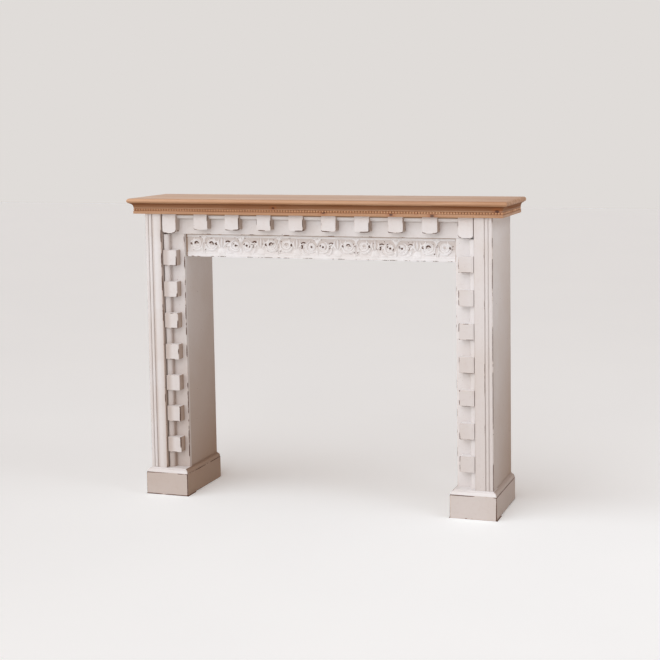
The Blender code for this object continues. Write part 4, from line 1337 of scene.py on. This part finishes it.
def build_stage():
    """Pale floor, soft studio light and the photograph's camera."""
    scene = bpy.context.scene
    scene.view_settings.view_transform = "Standard"
    half = 14.0
    corners = [(-half, -half, 0.0), (half, -half, 0.0), (half, half, 0.0), (-half, half, 0.0)]
    mesh = bpy.data.meshes.new("studio_floor")
    mesh.from_pydata(corners, [], [(0, 1, 2, 3)])
    mesh.materials.append(floor_paper())
    floor = bpy.data.objects.new("studio_floor", mesh)
    scene.collection.objects.link(floor)
    floor.location.z = -0.4 * MM
    floor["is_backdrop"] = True

    world = bpy.data.worlds.new("studio_world")
    scene.world = world
    world.use_nodes = True
    # The backdrop is pale, and the light that it gives is warmer and darker
    tree = world.node_tree
    soft = add_node(tree, "ShaderNodeLightPath", output="Is Diffuse Ray")
    room = add_node(tree, "ShaderNodeMix", {0: soft, 6: linear("#E0DCD9"), 7: linear("#937C6E")}, **COLOUR_MIX)
    tree.links.new(room, tree.nodes["Background"].inputs["Color"])
    sun = bpy.data.lights.new("even_light", "SUN")
    sun.energy = 1.95
    sun.angle = math.radians(80)
    sun.color = linear("#F6FAFF")
    lamp = bpy.data.objects.new("even_light", sun)
    scene.collection.objects.link(lamp)
    lamp.rotation_euler = Vector((0.42, 0.68, -0.60)).to_track_quat("-Z", "Y").to_euler()
    add_area_light("key_softbox", (0.2, -3.0, 2.2), (0.1, 0.0, 0.7), 2.0, 13, "#FCFCFF")
    add_area_light("fill_softbox", (2.3, -0.4, 2.5), (0.6, 0.0, 0.8), 1.2, 14, "#F8FAFF")

    data = bpy.data.cameras.new("photo_camera")
    data.sensor_width = SENSOR_WIDTH
    data.lens = LENS_PIXELS * SENSOR_WIDTH / PHOTO_SIZE
    data.shift_x = (PHOTO_SIZE / 2 - LENS_CENTRE[0]) / PHOTO_SIZE
    data.shift_y = (LENS_CENTRE[1] - PHOTO_SIZE / 2) / PHOTO_SIZE
    camera = bpy.data.objects.new("photo_camera", data)
    scene.collection.objects.link(camera)
    camera.matrix_world = camera_matrix()
    scene.camera = camera


# Operators

class MANTEL_OT_shelf(bpy.types.Operator):
    """Build the pine shelf board"""
    bl_idname = "mantel.shelf"
    bl_label = "Pine shelf"

    def execute(self, context):
        build_shelf()
        return {"FINISHED"}


class MANTEL_OT_cornice(bpy.types.Operator):
    """Build the pine cornice and its two returns"""
    bl_idname = "mantel.cornice"
    bl_label = "Pine cornice"

    def execute(self, context):
        build_cornice()
        return {"FINISHED"}


class MANTEL_OT_beads(bpy.types.Operator):
    """Build the bead rows of the cornice"""
    bl_idname = "mantel.beads"
    bl_label = "Bead rows"

    def execute(self, context):
        build_beads()
        return {"FINISHED"}


class MANTEL_OT_mouldings(bpy.types.Operator):
    """Build the level and the upright dentil mouldings"""
    bl_idname = "mantel.mouldings"
    bl_label = "Dentil mouldings"

    def execute(self, context):
        build_mouldings()
        return {"FINISHED"}


class MANTEL_OT_blocks(bpy.types.Operator):
    """Build the worn dentil blocks"""
    bl_idname = "mantel.blocks"
    bl_label = "Dentil blocks"

    def execute(self, context):
        build_blocks()
        return {"FINISHED"}


class MANTEL_OT_strips(bpy.types.Operator):
    """Build the reeded strips of the legs"""
    bl_idname = "mantel.strips"
    bl_label = "Reeded strips"

    def execute(self, context):
        build_strips()
        return {"FINISHED"}


class MANTEL_OT_leg_boards(bpy.types.Operator):
    """Build the side boards of the legs and finish the stiles"""
    bl_idname = "mantel.leg_boards"
    bl_label = "Leg boards"

    def execute(self, context):
        build_leg_boards()
        dress_stiles()
        return {"FINISHED"}


class MANTEL_OT_plinths(bpy.types.Operator):
    """Build the moulded plinths"""
    bl_idname = "mantel.plinths"
    bl_label = "Plinths"

    def execute(self, context):
        build_plinths()
        return {"FINISHED"}


class MANTEL_OT_frieze(bpy.types.Operator):
    """Build the carved frieze"""
    bl_idname = "mantel.frieze"
    bl_label = "Carved frieze"

    def execute(self, context):
        build_frieze()
        return {"FINISHED"}


class MANTEL_OT_stage(bpy.types.Operator):
    """Build the floor, the lights and the camera"""
    bl_idname = "mantel.stage"
    bl_label = "Stage"

    def execute(self, context):
        build_stage()
        return {"FINISHED"}


STEPS = (MANTEL_OT_shelf, MANTEL_OT_cornice, MANTEL_OT_beads, MANTEL_OT_mouldings, MANTEL_OT_blocks,
         MANTEL_OT_strips, MANTEL_OT_leg_boards, MANTEL_OT_plinths, MANTEL_OT_frieze, MANTEL_OT_stage)


class MANTEL_PT_panel(bpy.types.Panel):
    """Sizes, colours and building steps of the mantelpiece"""
    bl_idname = "MANTEL_PT_panel"
    bl_label = "Mantelpiece"
    bl_space_type = "VIEW_3D"
    bl_region_type = "UI"
    bl_category = "Mantelpiece"

    def draw(self, context):
        for group in (context.scene.mantel_sizes, context.scene.mantel_colours):
            for name in group.bl_rna.properties.keys():
                if name not in ("rna_type", "name"):
                    self.layout.prop(group, name)
        for step in STEPS:
            self.layout.operator(step.bl_idname)


CLASSES = (MantelSizes, MantelColours, *STEPS, MANTEL_PT_panel)


def register():
    for cls in CLASSES:
        bpy.utils.register_class(cls)
    bpy.types.Scene.mantel_sizes = bpy.props.PointerProperty(type=MantelSizes)
    bpy.types.Scene.mantel_colours = bpy.props.PointerProperty(type=MantelColours)


def unregister():
    del bpy.types.Scene.mantel_colours
    del bpy.types.Scene.mantel_sizes
    for cls in reversed(CLASSES):
        bpy.utils.unregister_class(cls)


def main():
    register()
    for step in STEPS:
        group, name = step.bl_idname.split(".")
        getattr(getattr(bpy.ops, group), name)()
    boxes = {"cad": CAD_BOX, "visual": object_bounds()}
    {key: [list(corner) for corner in box] for key, box in boxes.items()}


if __name__ == "__main__":
    main()
